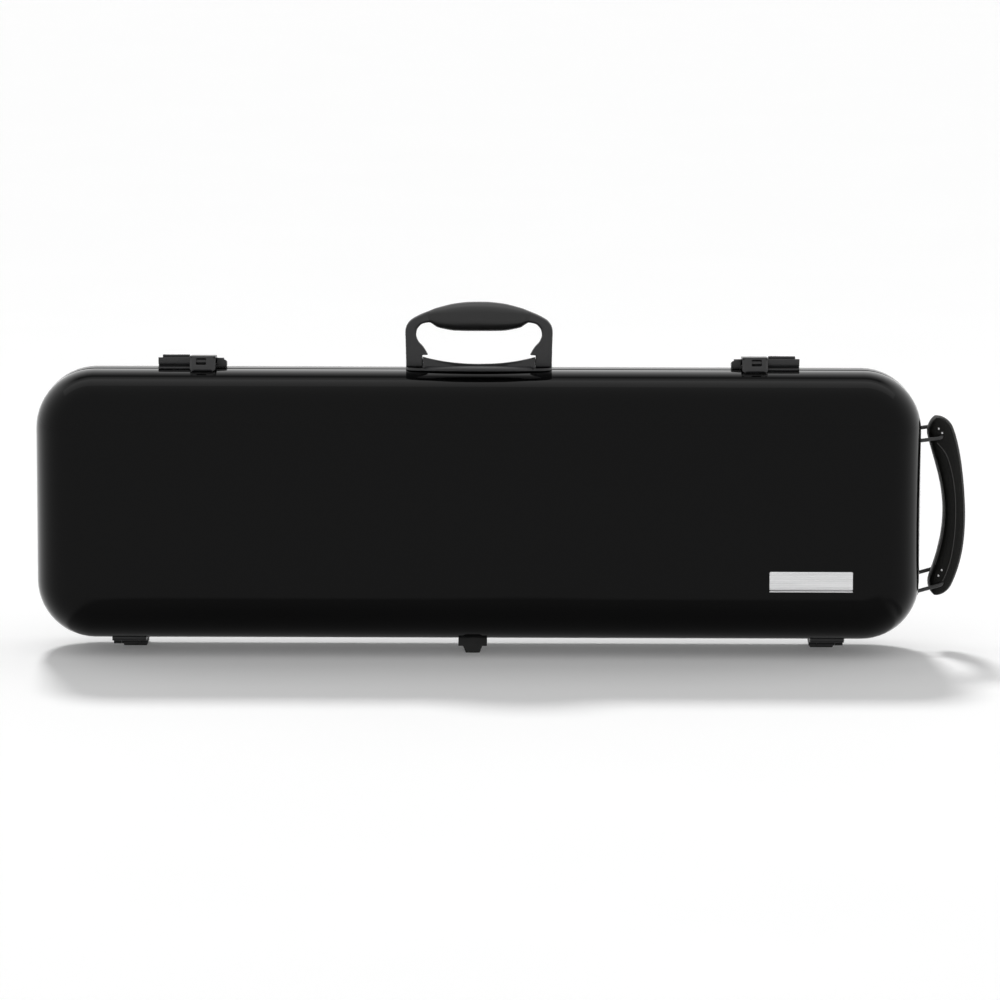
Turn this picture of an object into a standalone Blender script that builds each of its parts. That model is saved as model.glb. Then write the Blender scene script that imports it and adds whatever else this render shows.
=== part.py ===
"""Oblong violin case with a gloss lid and base, standing on its hinge side.

The case frame has X along the length, Y from the lid to the base and Z up, with y = 0 on the seam
between lid and base and z = 0 on the floor under the feet.  One empty carries the whole case and
puts the middle of its footprint on the world origin.  Every moving piece hangs on an empty that
lies on its joint's axis.
"""

import math

import bmesh
import bpy
from mathutils import Vector

MM = 0.001

# Case body
CASE_LENGTH = 800 * MM
CASE_HEIGHT = 244 * MM
LID_DEPTH = 60 * MM
BASE_DEPTH = 70 * MM
CORNER_RADIUS = 53 * MM
LID_EDGE_RADIUS = 38 * MM
BASE_EDGE_RADIUS = 44 * MM
SHELL_WALL = 2.5 * MM
FOOT_HEIGHT = 12.5 * MM
FIT = 0.3 * MM

# Rims and seal along the seam
SEAM_GAP = 0.6 * MM
RIM_WIDTH = 9 * MM
RIM_LIP = 3 * MM
RIM_FLANGE = 2.2 * MM
RIM_DEPTH = 12 * MM
SEAL_WIDTH = 2.6 * MM
SEAL_GROOVE = 2 * MM

# Hinges along the bottom edge
HINGE_INSET = 83.5 * MM
HINGE_WIDTH = 31 * MM
HINGE_DROP = 4.5 * MM
HINGE_BARREL = 4 * MM
HINGE_PIN = 1.6 * MM
HINGE_LEAF = 2.3 * MM
HINGE_LEAF_REACH = 21 * MM
HINGE_KNUCKLE = 7 * MM
HINGE_GAP = 0.4 * MM
HINGE_RELIEF = 1 * MM
HINGE_BARREL_SWEEP = 280

# Feet
FRONT_FOOT_X = -5 * MM
FRONT_FOOT_WIDTH = 26 * MM
FRONT_FOOT_STUD = 17.4 * MM
FRONT_FOOT_TIP = 12.6 * MM
FRONT_FOOT_LENGTH = 14 * MM
FRONT_FOOT_BACK = 8 * MM
FRONT_FOOT_FLANGE = 6 * MM
REAR_FOOT_WIDTH = 25 * MM
REAR_FOOT_LENGTH = 24 * MM
REAR_FOOT_START = 14 * MM
REAR_FOOT_TAPER = 2 * MM

# Latches along the top edge
LATCH_INSET = 140.7 * MM
LATCH_LENGTH = 61.4 * MM
LATCH_DEPTH = 18 * MM
LATCH_SETBACK = 1 * MM
LATCH_PLATE = 2.5 * MM
LATCH_BODY_LENGTH = 28.9 * MM
LATCH_BODY_HEIGHT = 10.2 * MM
LATCH_BLOCK_HEIGHT = 9 * MM
LATCH_CHAMFER = 2.5 * MM
LATCH_GAP = 0.5 * MM
HASP_WIDTH = 23 * MM
HASP_HEIGHT = 13 * MM
HASP_TOP = 2.8 * MM
HASP_FRONT = 3 * MM
HASP_REACH = 20.5 * MM
HASP_LIFT = 0.8 * MM
HASP_AXIS_Y = 11 * MM
HASP_AXIS_Z = 7 * MM
HASP_KNUCKLE = 3.9 * MM
HASP_KNUCKLE_START = 30
HASP_PIN = 1.5 * MM
HASP_PIN_BITE = 6 * MM
HASP_WINDOW_WIDTH = 9.6 * MM
HASP_WINDOW_HEIGHT = 5.6 * MM
KEEPER_WIDTH = 17 * MM
KEEPER_BACK = 4 * MM
KEEPER_PLATE = 2.2 * MM
KEEPER_GAP = 0.7 * MM
KEEPER_STEM = 4.5 * MM
SLIDE_LENGTH = 24.6 * MM
SLIDE_WIDTH = 10 * MM
SLIDE_TRAVEL = 3.5 * MM
SLIDE_KEEL_WIDTH = 4 * MM
SLIDE_KEEL_DEPTH = 4 * MM

# Carrying handle
HANDLE_WIDTH = 132 * MM
HANDLE_HEIGHT = 62 * MM
HANDLE_AXIS_Y = 2 * MM
HANDLE_POST_WIDTH = 15.5 * MM
HANDLE_POST_DEPTH = 10 * MM
HANDLE_POST_ROUND = 4 * MM
HANDLE_FOOT_TURN = 80
HANDLE_CORE = 8 * MM
HANDLE_CORE_Z = 49 * MM
HANDLE_SHOULDER_Z = 34 * MM
HANDLE_PIN = 1.6 * MM
HANDLE_PIN_SHARE = 0.12
MOUNT_FLANGE = 2 * MM
MOUNT_DEPTH = 12 * MM
MOUNT_RIDGE = 3.6 * MM
MOUNT_DIP = 3.5 * MM
GRIP_LENGTH = 84 * MM
GRIP_DEPTH = 28 * MM
GRIP_DROP = 12.2 * MM
GRIP_END_HEIGHT = 12 * MM
GRIP_END_DEPTH = 13 * MM

# Strap handle on the end
STRAP_OVERHANG = 18 * MM
STRAP_WIDTH = 24 * MM
STRAP_THICKNESS = 20.6 * MM
STRAP_STANDOFF = 23.6 * MM
STRAP_DROP = 4 * MM
STRAP_BOW = 17.6 * MM
STRAP_Y = 30.5 * MM
STRAP_END_SHARE = 0.12
LOOP_WIRE = 1.5 * MM
LOOP_MARGIN = 5.5 * MM
LOOP_CLEARANCE = 0.8 * MM
LOOP_HEAD = 3.2 * MM
LOOP_BEND = 2 * MM

# Name plate
PLATE_WIDTH = 75 * MM
PLATE_HEIGHT = 19.4 * MM
PLATE_THICKNESS = 0.8 * MM
PLATE_INSET = 101 * MM
PLATE_RISE = 59.2 * MM
PLATE_CORNER = 2.5 * MM

# Lining and fittings inside
LINER_DROP = 3 * MM
LINER_FLOOR = 8 * MM
LID_LINER_WALL = 5 * MM
WELL_TAIL_GAP = 27 * MM
WELL_LOWER_MARGIN = 13 * MM
WELL_UPPER_MARGIN = 31 * MM
WELL_WAIST_MARGIN = 56 * MM
WELL_LENGTH = 366 * MM
NECK_HALF_WIDTH = 30 * MM
NECK_LENGTH = 236 * MM
CRADLE_OFFSET = 78 * MM
CRADLE_LENGTH = 40 * MM
CRADLE_DROP = 28 * MM
CRADLE_NOTCH = 8 * MM
NECK_STRAP_WIDTH = 24 * MM
NECK_STRAP_MARGIN = 8 * MM
NECK_STRAP_THICKNESS = 2 * MM
POCKET_OFFSET = 43 * MM
POCKET_LENGTH = 170 * MM
POCKET_WIDTH = 38 * MM
POCKET_MARGIN = 27 * MM
POCKET_DEPTH = 45 * MM
POCKET_RADIUS = 6 * MM
POCKET_LID_MARGIN = 3 * MM
POCKET_LID_THICKNESS = 3.2 * MM
TAB_WIDTH = 16 * MM
TAB_LENGTH = 12 * MM
TAB_OVERHANG = 2.5 * MM
TAB_THICKNESS = 1.2 * MM
END_POCKET_GAP = 16 * MM
END_POCKET_MARGIN = 25 * MM
END_POCKET_SIDE = 30 * MM
BOW_Z = 48 * MM
BOW_CLIP_INSET = 65 * MM
BOW_CLIP_LENGTH = 50 * MM
BOW_CLIP_WIDTH = 14 * MM
BOW_CLIP_THICKNESS = 5 * MM
BOW_POST_RADIUS = 6 * MM
BOW_POST_HEIGHT = 14 * MM
BOW_REST_INSET = 55 * MM
BOW_REST_LENGTH = 24 * MM
BOW_REST_WIDTH = 150 * MM
BOW_REST_HEIGHT = 16 * MM
BOW_SLOT_WIDTH = 16 * MM
BOW_SLOT_DEPTH = 10 * MM

# Roundness of the facets
CORNER_STEPS = 7
EDGE_STEPS = 6
CIRCLE_SIDES = 16
WELL_STEPS = 26
HANDLE_STEPS = 8
HANDLE_FOOT_STEPS = 5
GRIP_STEPS = 10
STRAP_STEPS = 9

# Heights and edges that follow from the sizes above
Z_TOP = FOOT_HEIGHT + CASE_HEIGHT
Z_MID = FOOT_HEIGHT + CASE_HEIGHT / 2
SEAM = SEAM_GAP / 2
SHELL_START = SEAM + RIM_LIP + FIT
INNER_INSET = RIM_WIDTH + FIT
HINGE_Z = FOOT_HEIGHT - HINGE_DROP
PLATE_FACE = -(LID_DEPTH + FIT + PLATE_THICKNESS)
STRAP_REACH = STRAP_STANDOFF + STRAP_THICKNESS
CASE_END = CASE_LENGTH / 2
HINGE_X = CASE_END - HINGE_INSET
LATCH_X = CASE_END - LATCH_INSET
LOOP_SPACING = CASE_HEIGHT - 2 * (CORNER_RADIUS + LOOP_MARGIN)
STRAP_LENGTH = LOOP_SPACING + 2 * STRAP_OVERHANG
STRAP_Z = Z_MID - STRAP_DROP
PLATE_X = CASE_END - PLATE_INSET
PLATE_Z = FOOT_HEIGHT + PLATE_RISE
LINER_BACK = BASE_DEPTH - SHELL_WALL - FIT
LID_FLOOR = -(LID_DEPTH - SHELL_WALL - FIT - LID_LINER_WALL)
WELL_FLOOR = LINER_BACK - LINER_FLOOR
WELL_LOWER_RADIUS = CASE_HEIGHT / 2 - WELL_LOWER_MARGIN
WELL_UPPER_RADIUS = CASE_HEIGHT / 2 - WELL_UPPER_MARGIN
WELL_WAIST = CASE_HEIGHT / 2 - WELL_WAIST_MARGIN
WELL_TAIL_X = WELL_TAIL_GAP - CASE_END
NECK_X = WELL_TAIL_X + WELL_LENGTH
SCROLL_X = NECK_X + NECK_LENGTH
POCKET_X = NECK_X + POCKET_OFFSET
POCKET_INNER_Z = CASE_HEIGHT / 2 - POCKET_MARGIN - POCKET_WIDTH
END_POCKET_X = SCROLL_X + END_POCKET_GAP
END_POCKET_LENGTH = CASE_END - END_POCKET_MARGIN - END_POCKET_X
END_POCKET_WIDTH = CASE_HEIGHT - 2 * END_POCKET_SIDE
BOW_CLIP_X = CASE_END - BOW_CLIP_INSET
BOW_REST_X = BOW_REST_INSET - CASE_END
MOUNT_TOP = Z_TOP + FIT + MOUNT_FLANGE
POST_REACH = HANDLE_POST_DEPTH / 2
HANDLE_AXIS_Z = MOUNT_TOP + FIT + POST_REACH
POCKET_HINGE_Z = Z_MID + POCKET_INNER_Z + POCKET_WIDTH + POCKET_LID_MARGIN
POCKET_LID_BACK = LINER_DROP - FIT

GLOSS_BLACK = ((0.006, 0.006, 0.007), 0.06, 0.0)
SATIN_BLACK = ((0.012, 0.012, 0.013), 0.35, 0.0)
RUBBER_BLACK = ((0.018, 0.018, 0.018), 0.7, 0.0)
LEATHER_BLACK = ((0.012, 0.012, 0.011), 0.55, 0.0)
STEEL = ((0.55, 0.55, 0.56), 0.25, 1.0)
DARK_STEEL = ((0.05, 0.05, 0.05), 0.3, 1.0)
PALE_METAL = ((0.72, 0.72, 0.73), 0.3, 1.0)
PLUSH = ((0.035, 0.036, 0.04), 0.95, 0.0)
PLUSH_LIGHT = ((0.06, 0.061, 0.066), 0.95, 0.0)


def clear_scene():
    """Start from an empty file."""
    for item in list(bpy.data.objects):
        bpy.data.objects.remove(item, do_unlink=True)


def add_empty(name, place, parent=None):
    """An empty that carries one body of the case."""
    empty = bpy.data.objects.new(name, None)
    empty.location = place
    empty.parent = parent
    bpy.context.scene.collection.objects.link(empty)
    return empty


def add_object(name, shape, body):
    """A closed mesh object from points in the case frame, hung on its body's empty."""
    points, faces = shape
    mesh = bpy.data.meshes.new(name)
    mesh.from_pydata([Vector(point) - body.location for point in points], [], faces)
    solid = bmesh.new()
    solid.from_mesh(mesh)
    bmesh.ops.recalc_face_normals(solid, faces=solid.faces)
    solid.to_mesh(mesh)
    solid.free()
    piece = bpy.data.objects.new(name, mesh)
    piece.parent = body
    bpy.context.scene.collection.objects.link(piece)
    return piece


def add_piece(name, shape, finish, body):
    """One named sub-part with its own material."""
    piece = add_object(name, shape, body)
    piece.data.shade_smooth()
    piece.data.set_sharp_from_angle(angle=math.radians(35))
    colour, roughness, metallic = finish
    coat = bpy.data.materials.new(name + "_finish")
    coat.use_nodes = True
    shader = coat.node_tree.nodes["Principled BSDF"]
    shader.inputs["Base Color"].default_value = (*colour, 1.0)
    shader.inputs["Roughness"].default_value = roughness
    shader.inputs["Metallic"].default_value = metallic
    piece.data.materials.append(coat)
    return piece


def combine(piece, shape, operation):
    """Cut a shape out of a piece, or join it on, with a Boolean modifier."""
    tool = add_object(f"{piece.name}_tool_{len(piece.modifiers)}", shape, piece.parent)
    tool.hide_render = True
    tool.display_type = "WIRE"
    step = piece.modifiers.new("combine", "BOOLEAN")
    step.operation = operation
    step.object = tool


def cut(piece, shape):
    """Take a shape out of a piece."""
    combine(piece, shape, "DIFFERENCE")


def join(piece, shape):
    """Join a shape onto a piece."""
    combine(piece, shape, "UNION")


def loft(rings, closed=False):
    """Skin a row of equal rings, with flat ends unless the row closes on itself."""
    count = len(rings[0])
    points = [point for ring in rings for point in ring]
    faces = []
    for row in range(len(rings) if closed else len(rings) - 1):
        near = row * count
        far = (row + 1) % len(rings) * count
        for spot in range(count):
            following = (spot + 1) % count
            faces.append((near + spot, near + following, far + following, far + spot))
    if not closed:
        faces.append(tuple(range(count)))
        faces.append(tuple(range(len(points) - count, len(points))))
    return points, faces


def prism(outline, low, high, axis):
    """Extrude a flat outline along X, Y or Z.  The outline holds the other two in order."""
    places = {
        "x": lambda first, second, along: (along, first, second),
        "y": lambda first, second, along: (first, along, second),
        "z": lambda first, second, along: (first, second, along),
    }
    place = places[axis]
    return loft([[place(a, b, along) for a, b in outline] for along in (low, high)])


def box(x_range, y_range, z_range):
    """A plain block between two limits on each axis."""
    (left, right), (front, back) = x_range, y_range
    outline = [(left, front), (right, front), (right, back), (left, back)]
    return prism(outline, *z_range, "z")


def arc(centre, radius, start, end, steps):
    """Points on an arc, with angles in degrees."""
    points = []
    for step in range(steps + 1):
        angle = math.radians(start + (end - start) * step / steps)
        points.append((centre[0] + radius * math.cos(angle), centre[1] + radius * math.sin(angle)))
    return points


def circle(centre, radius):
    """A full round outline."""
    return arc(centre, radius, 0, 360, CIRCLE_SIDES)[:-1]


def rounded_rectangle(centre, width, height, radius, steps=CORNER_STEPS):
    """A rectangle outline with round corners."""
    outline = []
    for start, across, up in ((0, 1, 1), (90, -1, 1), (180, -1, -1), (270, 1, -1)):
        corner = (
            centre[0] + across * (width / 2 - radius),
            centre[1] + up * (height / 2 - radius),
        )
        outline += arc(corner, radius, start, start + 90, steps)
    return outline


def case_ring(inset, y):
    """The case's outline, moved in by an inset, at one depth."""
    radius = max(CORNER_RADIUS - inset, FIT)
    outline = rounded_rectangle(
        (0, Z_MID), CASE_LENGTH - 2 * inset, CASE_HEIGHT - 2 * inset, radius
    )
    return [(x, y, z) for x, z in outline]


def edge_profile(depth, edge_radius, offset):
    """Insets and depths over the round edge of a half, moved in by an offset."""
    radius = edge_radius - offset
    profile = []
    for step in range(EDGE_STEPS + 1):
        angle = math.pi / 2 * step / EDGE_STEPS
        inset = offset + radius * (1 - math.cos(angle))
        profile.append((inset, depth - edge_radius + radius * math.sin(angle)))
    return profile


def half_shell(name, depth, edge_radius, side, body):
    """One half of the outer shell: an even wall that ends at the rim's lip."""
    outer = [(0, SHELL_START)] + edge_profile(depth, edge_radius, 0)
    inner = [(SHELL_WALL, SHELL_START)] + edge_profile(depth, edge_radius, SHELL_WALL)
    profile = outer[::-1] + inner
    rings = [case_ring(inset, side * y) for inset, y in profile]
    return add_piece(name, loft(rings), GLOSS_BLACK, body)


def half_rim(name, side, groove, body):
    """The frame on one half's edge: a lip over the edge and a flange inside the wall."""
    inner = SHELL_WALL + FIT
    profile = [(0, SEAM)]
    if groove:
        start = RIM_WIDTH / 2 - SEAL_WIDTH / 2 - FIT
        end = RIM_WIDTH / 2 + SEAL_WIDTH / 2 + FIT
        floor = SEAM + SEAL_GROOVE
        profile += [(start, SEAM), (start, floor), (end, floor), (end, SEAM)]
    profile += [
        (RIM_WIDTH, SEAM),
        (RIM_WIDTH, SEAM + RIM_LIP),
        (inner + RIM_FLANGE, SEAM + RIM_LIP),
        (inner + RIM_FLANGE, RIM_DEPTH),
        (inner, RIM_DEPTH),
        (inner, SEAM + RIM_LIP),
        (0, SEAM + RIM_LIP),
    ]
    rings = [case_ring(inset, side * y) for inset, y in profile]
    return add_piece(name, loft(rings, closed=True), SATIN_BLACK, body)


def rim_seal(body):
    """The rubber seal in the base rim's groove, level with the seam."""
    start = RIM_WIDTH / 2 - SEAL_WIDTH / 2
    end = RIM_WIDTH / 2 + SEAL_WIDTH / 2
    floor = SEAM + SEAL_GROOVE - FIT
    crown = SEAM
    profile = [(start, crown), ((start + end) / 2, 0), (end, crown), (end, floor), (start, floor)]
    rings = [case_ring(inset, y) for inset, y in profile]
    add_piece("rim_seal", loft(rings, closed=True), RUBBER_BLACK, body)


def lining_profile(depth, edge_radius, offset, start):
    """The inside of a half, moved in by an offset and never wider than the rim's opening."""
    least = INNER_INSET + offset - SHELL_WALL - FIT
    profile = [(least, start)]
    for inset, y in edge_profile(depth, edge_radius, offset):
        if inset > least:
            profile.append((inset, y))
    return profile


def well_outline():
    """The violin's well: two round bouts, a waist and the neck's channel, widest wins."""
    lower_x = WELL_TAIL_X + WELL_LOWER_RADIUS
    upper_x = NECK_X - WELL_UPPER_RADIUS
    upper_edge = []
    for step in range(WELL_STEPS + 1):
        turn = math.pi * step / WELL_STEPS
        x = (WELL_TAIL_X + NECK_X) / 2 - WELL_LENGTH / 2 * math.cos(turn)
        lower = math.sqrt(max(WELL_LOWER_RADIUS**2 - (x - lower_x) ** 2, 0))
        upper = math.sqrt(max(WELL_UPPER_RADIUS**2 - (x - upper_x) ** 2, 0))
        waist = WELL_WAIST if lower_x < x < upper_x else 0
        neck = NECK_HALF_WIDTH if x > upper_x else 0
        upper_edge.append((x, max(lower, upper, waist, neck)))
    upper_edge.append((SCROLL_X, NECK_HALF_WIDTH))
    tail = upper_edge[0]
    rest = upper_edge[1:]
    above = [(x, Z_MID + half) for x, half in rest]
    below = [(x, Z_MID - half) for x, half in reversed(rest)]
    return [(tail[0], Z_MID)] + above + below


def pocket_outline(up):
    """A pocket beside the neck, on the handle's side for up = 1."""
    centre = (POCKET_X + POCKET_LENGTH / 2, Z_MID + up * (POCKET_INNER_Z + POCKET_WIDTH / 2))
    return rounded_rectangle(centre, POCKET_LENGTH, POCKET_WIDTH, POCKET_RADIUS, 3)


def base_lining(body):
    """The moulded lining of the base, with the violin's well and three pockets."""
    profile = lining_profile(BASE_DEPTH, BASE_EDGE_RADIUS, SHELL_WALL + FIT, LINER_DROP)
    rings = [case_ring(inset, y) for inset, y in profile]
    liner = add_piece("base_liner", loft(rings), PLUSH, body)
    mouth = LINER_DROP - LINER_FLOOR
    cut(liner, prism(well_outline(), mouth, WELL_FLOOR, "y"))
    for up in (1, -1):
        cut(liner, prism(pocket_outline(up), mouth, LINER_DROP + POCKET_DEPTH, "y"))
    end_x = END_POCKET_X + END_POCKET_LENGTH / 2
    end_pocket = rounded_rectangle(
        (end_x, Z_MID), END_POCKET_LENGTH, END_POCKET_WIDTH, 3 * POCKET_RADIUS, 3
    )
    cut(liner, prism(end_pocket, mouth, LINER_DROP + POCKET_DEPTH, "y"))


def neck_fittings(body):
    """The notched block under the violin's neck and the strap over it."""
    start = NECK_X + CRADLE_OFFSET
    half = NECK_HALF_WIDTH - FIT
    top = LINER_DROP + CRADLE_DROP
    outline = [
        (WELL_FLOOR - FIT, Z_MID - half),
        (WELL_FLOOR - FIT, Z_MID + half),
        (top, Z_MID + half),
        (top, Z_MID + half / 2),
        (top + CRADLE_NOTCH, Z_MID + half / 4),
        (top + CRADLE_NOTCH, Z_MID - half / 4),
        (top, Z_MID - half / 2),
        (top, Z_MID - half),
    ]
    cradle = prism(outline, start, start + CRADLE_LENGTH, "x")
    add_piece("neck_cradle", cradle, PLUSH_LIGHT, body)
    middle = start + CRADLE_LENGTH / 2
    reach = POCKET_INNER_Z - POCKET_LID_MARGIN - NECK_STRAP_MARGIN
    strap = box(
        (middle - NECK_STRAP_WIDTH / 2, middle + NECK_STRAP_WIDTH / 2),
        (LINER_DROP - FIT - NECK_STRAP_THICKNESS, LINER_DROP - FIT),
        (Z_MID - reach, Z_MID + reach),
    )
    add_piece("neck_strap", strap, SATIN_BLACK, body)


def pocket_lid(body):
    """The flap over the pocket on the handle's side, with its ribbon tab."""
    margin = POCKET_LID_MARGIN
    left = POCKET_X - margin
    right = POCKET_X + POCKET_LENGTH + margin
    free_edge = POCKET_HINGE_Z - POCKET_WIDTH - 2 * margin
    front = POCKET_LID_BACK - POCKET_LID_THICKNESS
    centre = ((left + right) / 2, (free_edge + POCKET_HINGE_Z) / 2)
    outline = rounded_rectangle(
        centre, right - left, POCKET_HINGE_Z - free_edge, POCKET_RADIUS / 2, 2
    )
    add_piece("pocket_lid", prism(outline, front, POCKET_LID_BACK, "y"), PLUSH_LIGHT, body)
    tab = box(
        (centre[0] - TAB_WIDTH / 2, centre[0] + TAB_WIDTH / 2),
        (front - FIT - TAB_THICKNESS, front - FIT),
        (free_edge - TAB_OVERHANG, free_edge - TAB_OVERHANG + TAB_LENGTH),
    )
    add_piece("pocket_tab", tab, SATIN_BLACK, body)


def lid_lining(body):
    """The lining of the lid, an even soft wall inside the shell."""
    outside = SHELL_WALL + FIT
    outer = lining_profile(LID_DEPTH, LID_EDGE_RADIUS, outside, LINER_DROP)
    inner = lining_profile(LID_DEPTH, LID_EDGE_RADIUS, outside + LID_LINER_WALL, LINER_DROP)
    rings = [case_ring(inset, -y) for inset, y in outer[::-1] + inner]
    add_piece("lid_liner", loft(rings), PLUSH, body)


def bow_fittings(lid, clips):
    """The padded rest for two bow tips, and a post and turning clip for each frog."""
    back = LID_FLOOR + FIT
    front = back + BOW_REST_HEIGHT
    slot = front - BOW_SLOT_DEPTH
    half = BOW_REST_WIDTH / 2
    outline = [(back, Z_MID - half), (back, Z_MID + half), (front, Z_MID + half)]
    for up in (1, -1):
        high = Z_MID + up * BOW_Z + BOW_SLOT_WIDTH / 2
        low = high - BOW_SLOT_WIDTH
        outline += [(front, high), (slot, high), (slot, low), (front, low)]
    outline.append((front, Z_MID - half))
    rest = prism(outline, BOW_REST_X - BOW_REST_LENGTH / 2, BOW_REST_X + BOW_REST_LENGTH / 2, "x")
    add_piece("bow_tip_rest", rest, PLUSH_LIGHT, lid)
    for name, up, clip in (("upper", 1, clips[0]), ("lower", -1, clips[1])):
        centre = (BOW_CLIP_X, Z_MID + up * BOW_Z)
        top = back + BOW_POST_HEIGHT
        post = prism(circle(centre, BOW_POST_RADIUS), back, top, "y")
        add_piece(f"bow_post_{name}", post, SATIN_BLACK, lid)
        outline = rounded_rectangle(
            centre, BOW_CLIP_WIDTH, BOW_CLIP_LENGTH, BOW_CLIP_WIDTH / 2 - FIT, 5
        )
        bar = prism(outline, top + FIT, top + FIT + BOW_CLIP_THICKNESS, "y")
        add_piece(f"bow_clip_{name}", bar, SATIN_BLACK, clip)


def hinge_leaf(name, x, side, body):
    """A leaf under one half's edge, with the barrel that its knuckles are cut from."""
    seat = FOOT_HEIGHT - FIT
    end = SEAM + HINGE_LEAF_REACH
    under = seat - HINGE_LEAF
    start = math.degrees(math.asin((under - HINGE_Z) / HINGE_BARREL))
    barrel = arc((0, HINGE_Z), HINGE_BARREL, start, start - HINGE_BARREL_SWEEP, CIRCLE_SIDES)
    outline = barrel + [(SEAM + HINGE_GAP, seat), (end, seat), (end, under)]
    outline = [(side * y, z) for y, z in outline]
    half = HINGE_WIDTH / 2
    leaf = prism(outline, x - half, x + half, "x")
    return add_piece(name, leaf, SATIN_BLACK, body)


def hinge(word, x, base, lid):
    """One hinge: a base leaf with two knuckles, a lid leaf with one, and the pin."""
    half = HINGE_WIDTH / 2
    middle = half - HINGE_KNUCKLE
    room = HINGE_BARREL + HINGE_RELIEF
    height = (HINGE_Z - room, FOOT_HEIGHT)
    bore = circle((0, HINGE_Z), HINGE_PIN + FIT)
    base_leaf = hinge_leaf(f"hinge_{word}_base_leaf", x, 1, base)
    cut(base_leaf, box((x - middle, x + middle), (-room, room), height))
    lid_leaf = hinge_leaf(f"hinge_{word}_lid_leaf", x, -1, lid)
    inner = middle - HINGE_GAP
    for start, end in ((-half - HINGE_GAP, -inner), (inner, half + HINGE_GAP)):
        cut(lid_leaf, box((x + start, x + end), (-room, room), height))
    for leaf in (base_leaf, lid_leaf):
        cut(leaf, prism(bore, x - half - HINGE_GAP, x + half + HINGE_GAP, "x"))
    pin = prism(circle((0, HINGE_Z), HINGE_PIN), x - half, x + half, "x")
    add_piece(f"hinge_{word}_pin", pin, STEEL, base)


def feet(base, lid):
    """A stud in the middle of the lid's edge, and a pad under each base hinge leaf."""
    seat = FOOT_HEIGHT - FIT
    flange = seat - FRONT_FOOT_FLANGE
    outline = [
        (-FRONT_FOOT_TIP / 2, 0),
        (FRONT_FOOT_TIP / 2, 0),
        (FRONT_FOOT_STUD / 2, flange),
        (FRONT_FOOT_WIDTH / 2, flange),
        (FRONT_FOOT_WIDTH / 2, seat),
        (-FRONT_FOOT_WIDTH / 2, seat),
        (-FRONT_FOOT_WIDTH / 2, flange),
        (-FRONT_FOOT_STUD / 2, flange),
    ]
    outline = [(FRONT_FOOT_X + x, z) for x, z in outline]
    back = -FRONT_FOOT_BACK
    add_piece("front_foot", prism(outline, back - FRONT_FOOT_LENGTH, back, "y"), RUBBER_BLACK, lid)
    leaf_under = seat - HINGE_LEAF - FIT
    for word, side in (("left", -1), ("right", 1)):
        inner = side * (HINGE_X - HINGE_WIDTH / 2)
        outer = inner + side * REAR_FOOT_WIDTH
        outline = [
            (inner + side * REAR_FOOT_TAPER, 0),
            (outer - side * REAR_FOOT_TAPER, 0),
            (outer, leaf_under),
            (inner, leaf_under),
        ]
        pad = prism(outline, REAR_FOOT_START, REAR_FOOT_START + REAR_FOOT_LENGTH, "y")
        add_piece(f"rear_foot_{word}", pad, RUBBER_BLACK, base)


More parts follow.
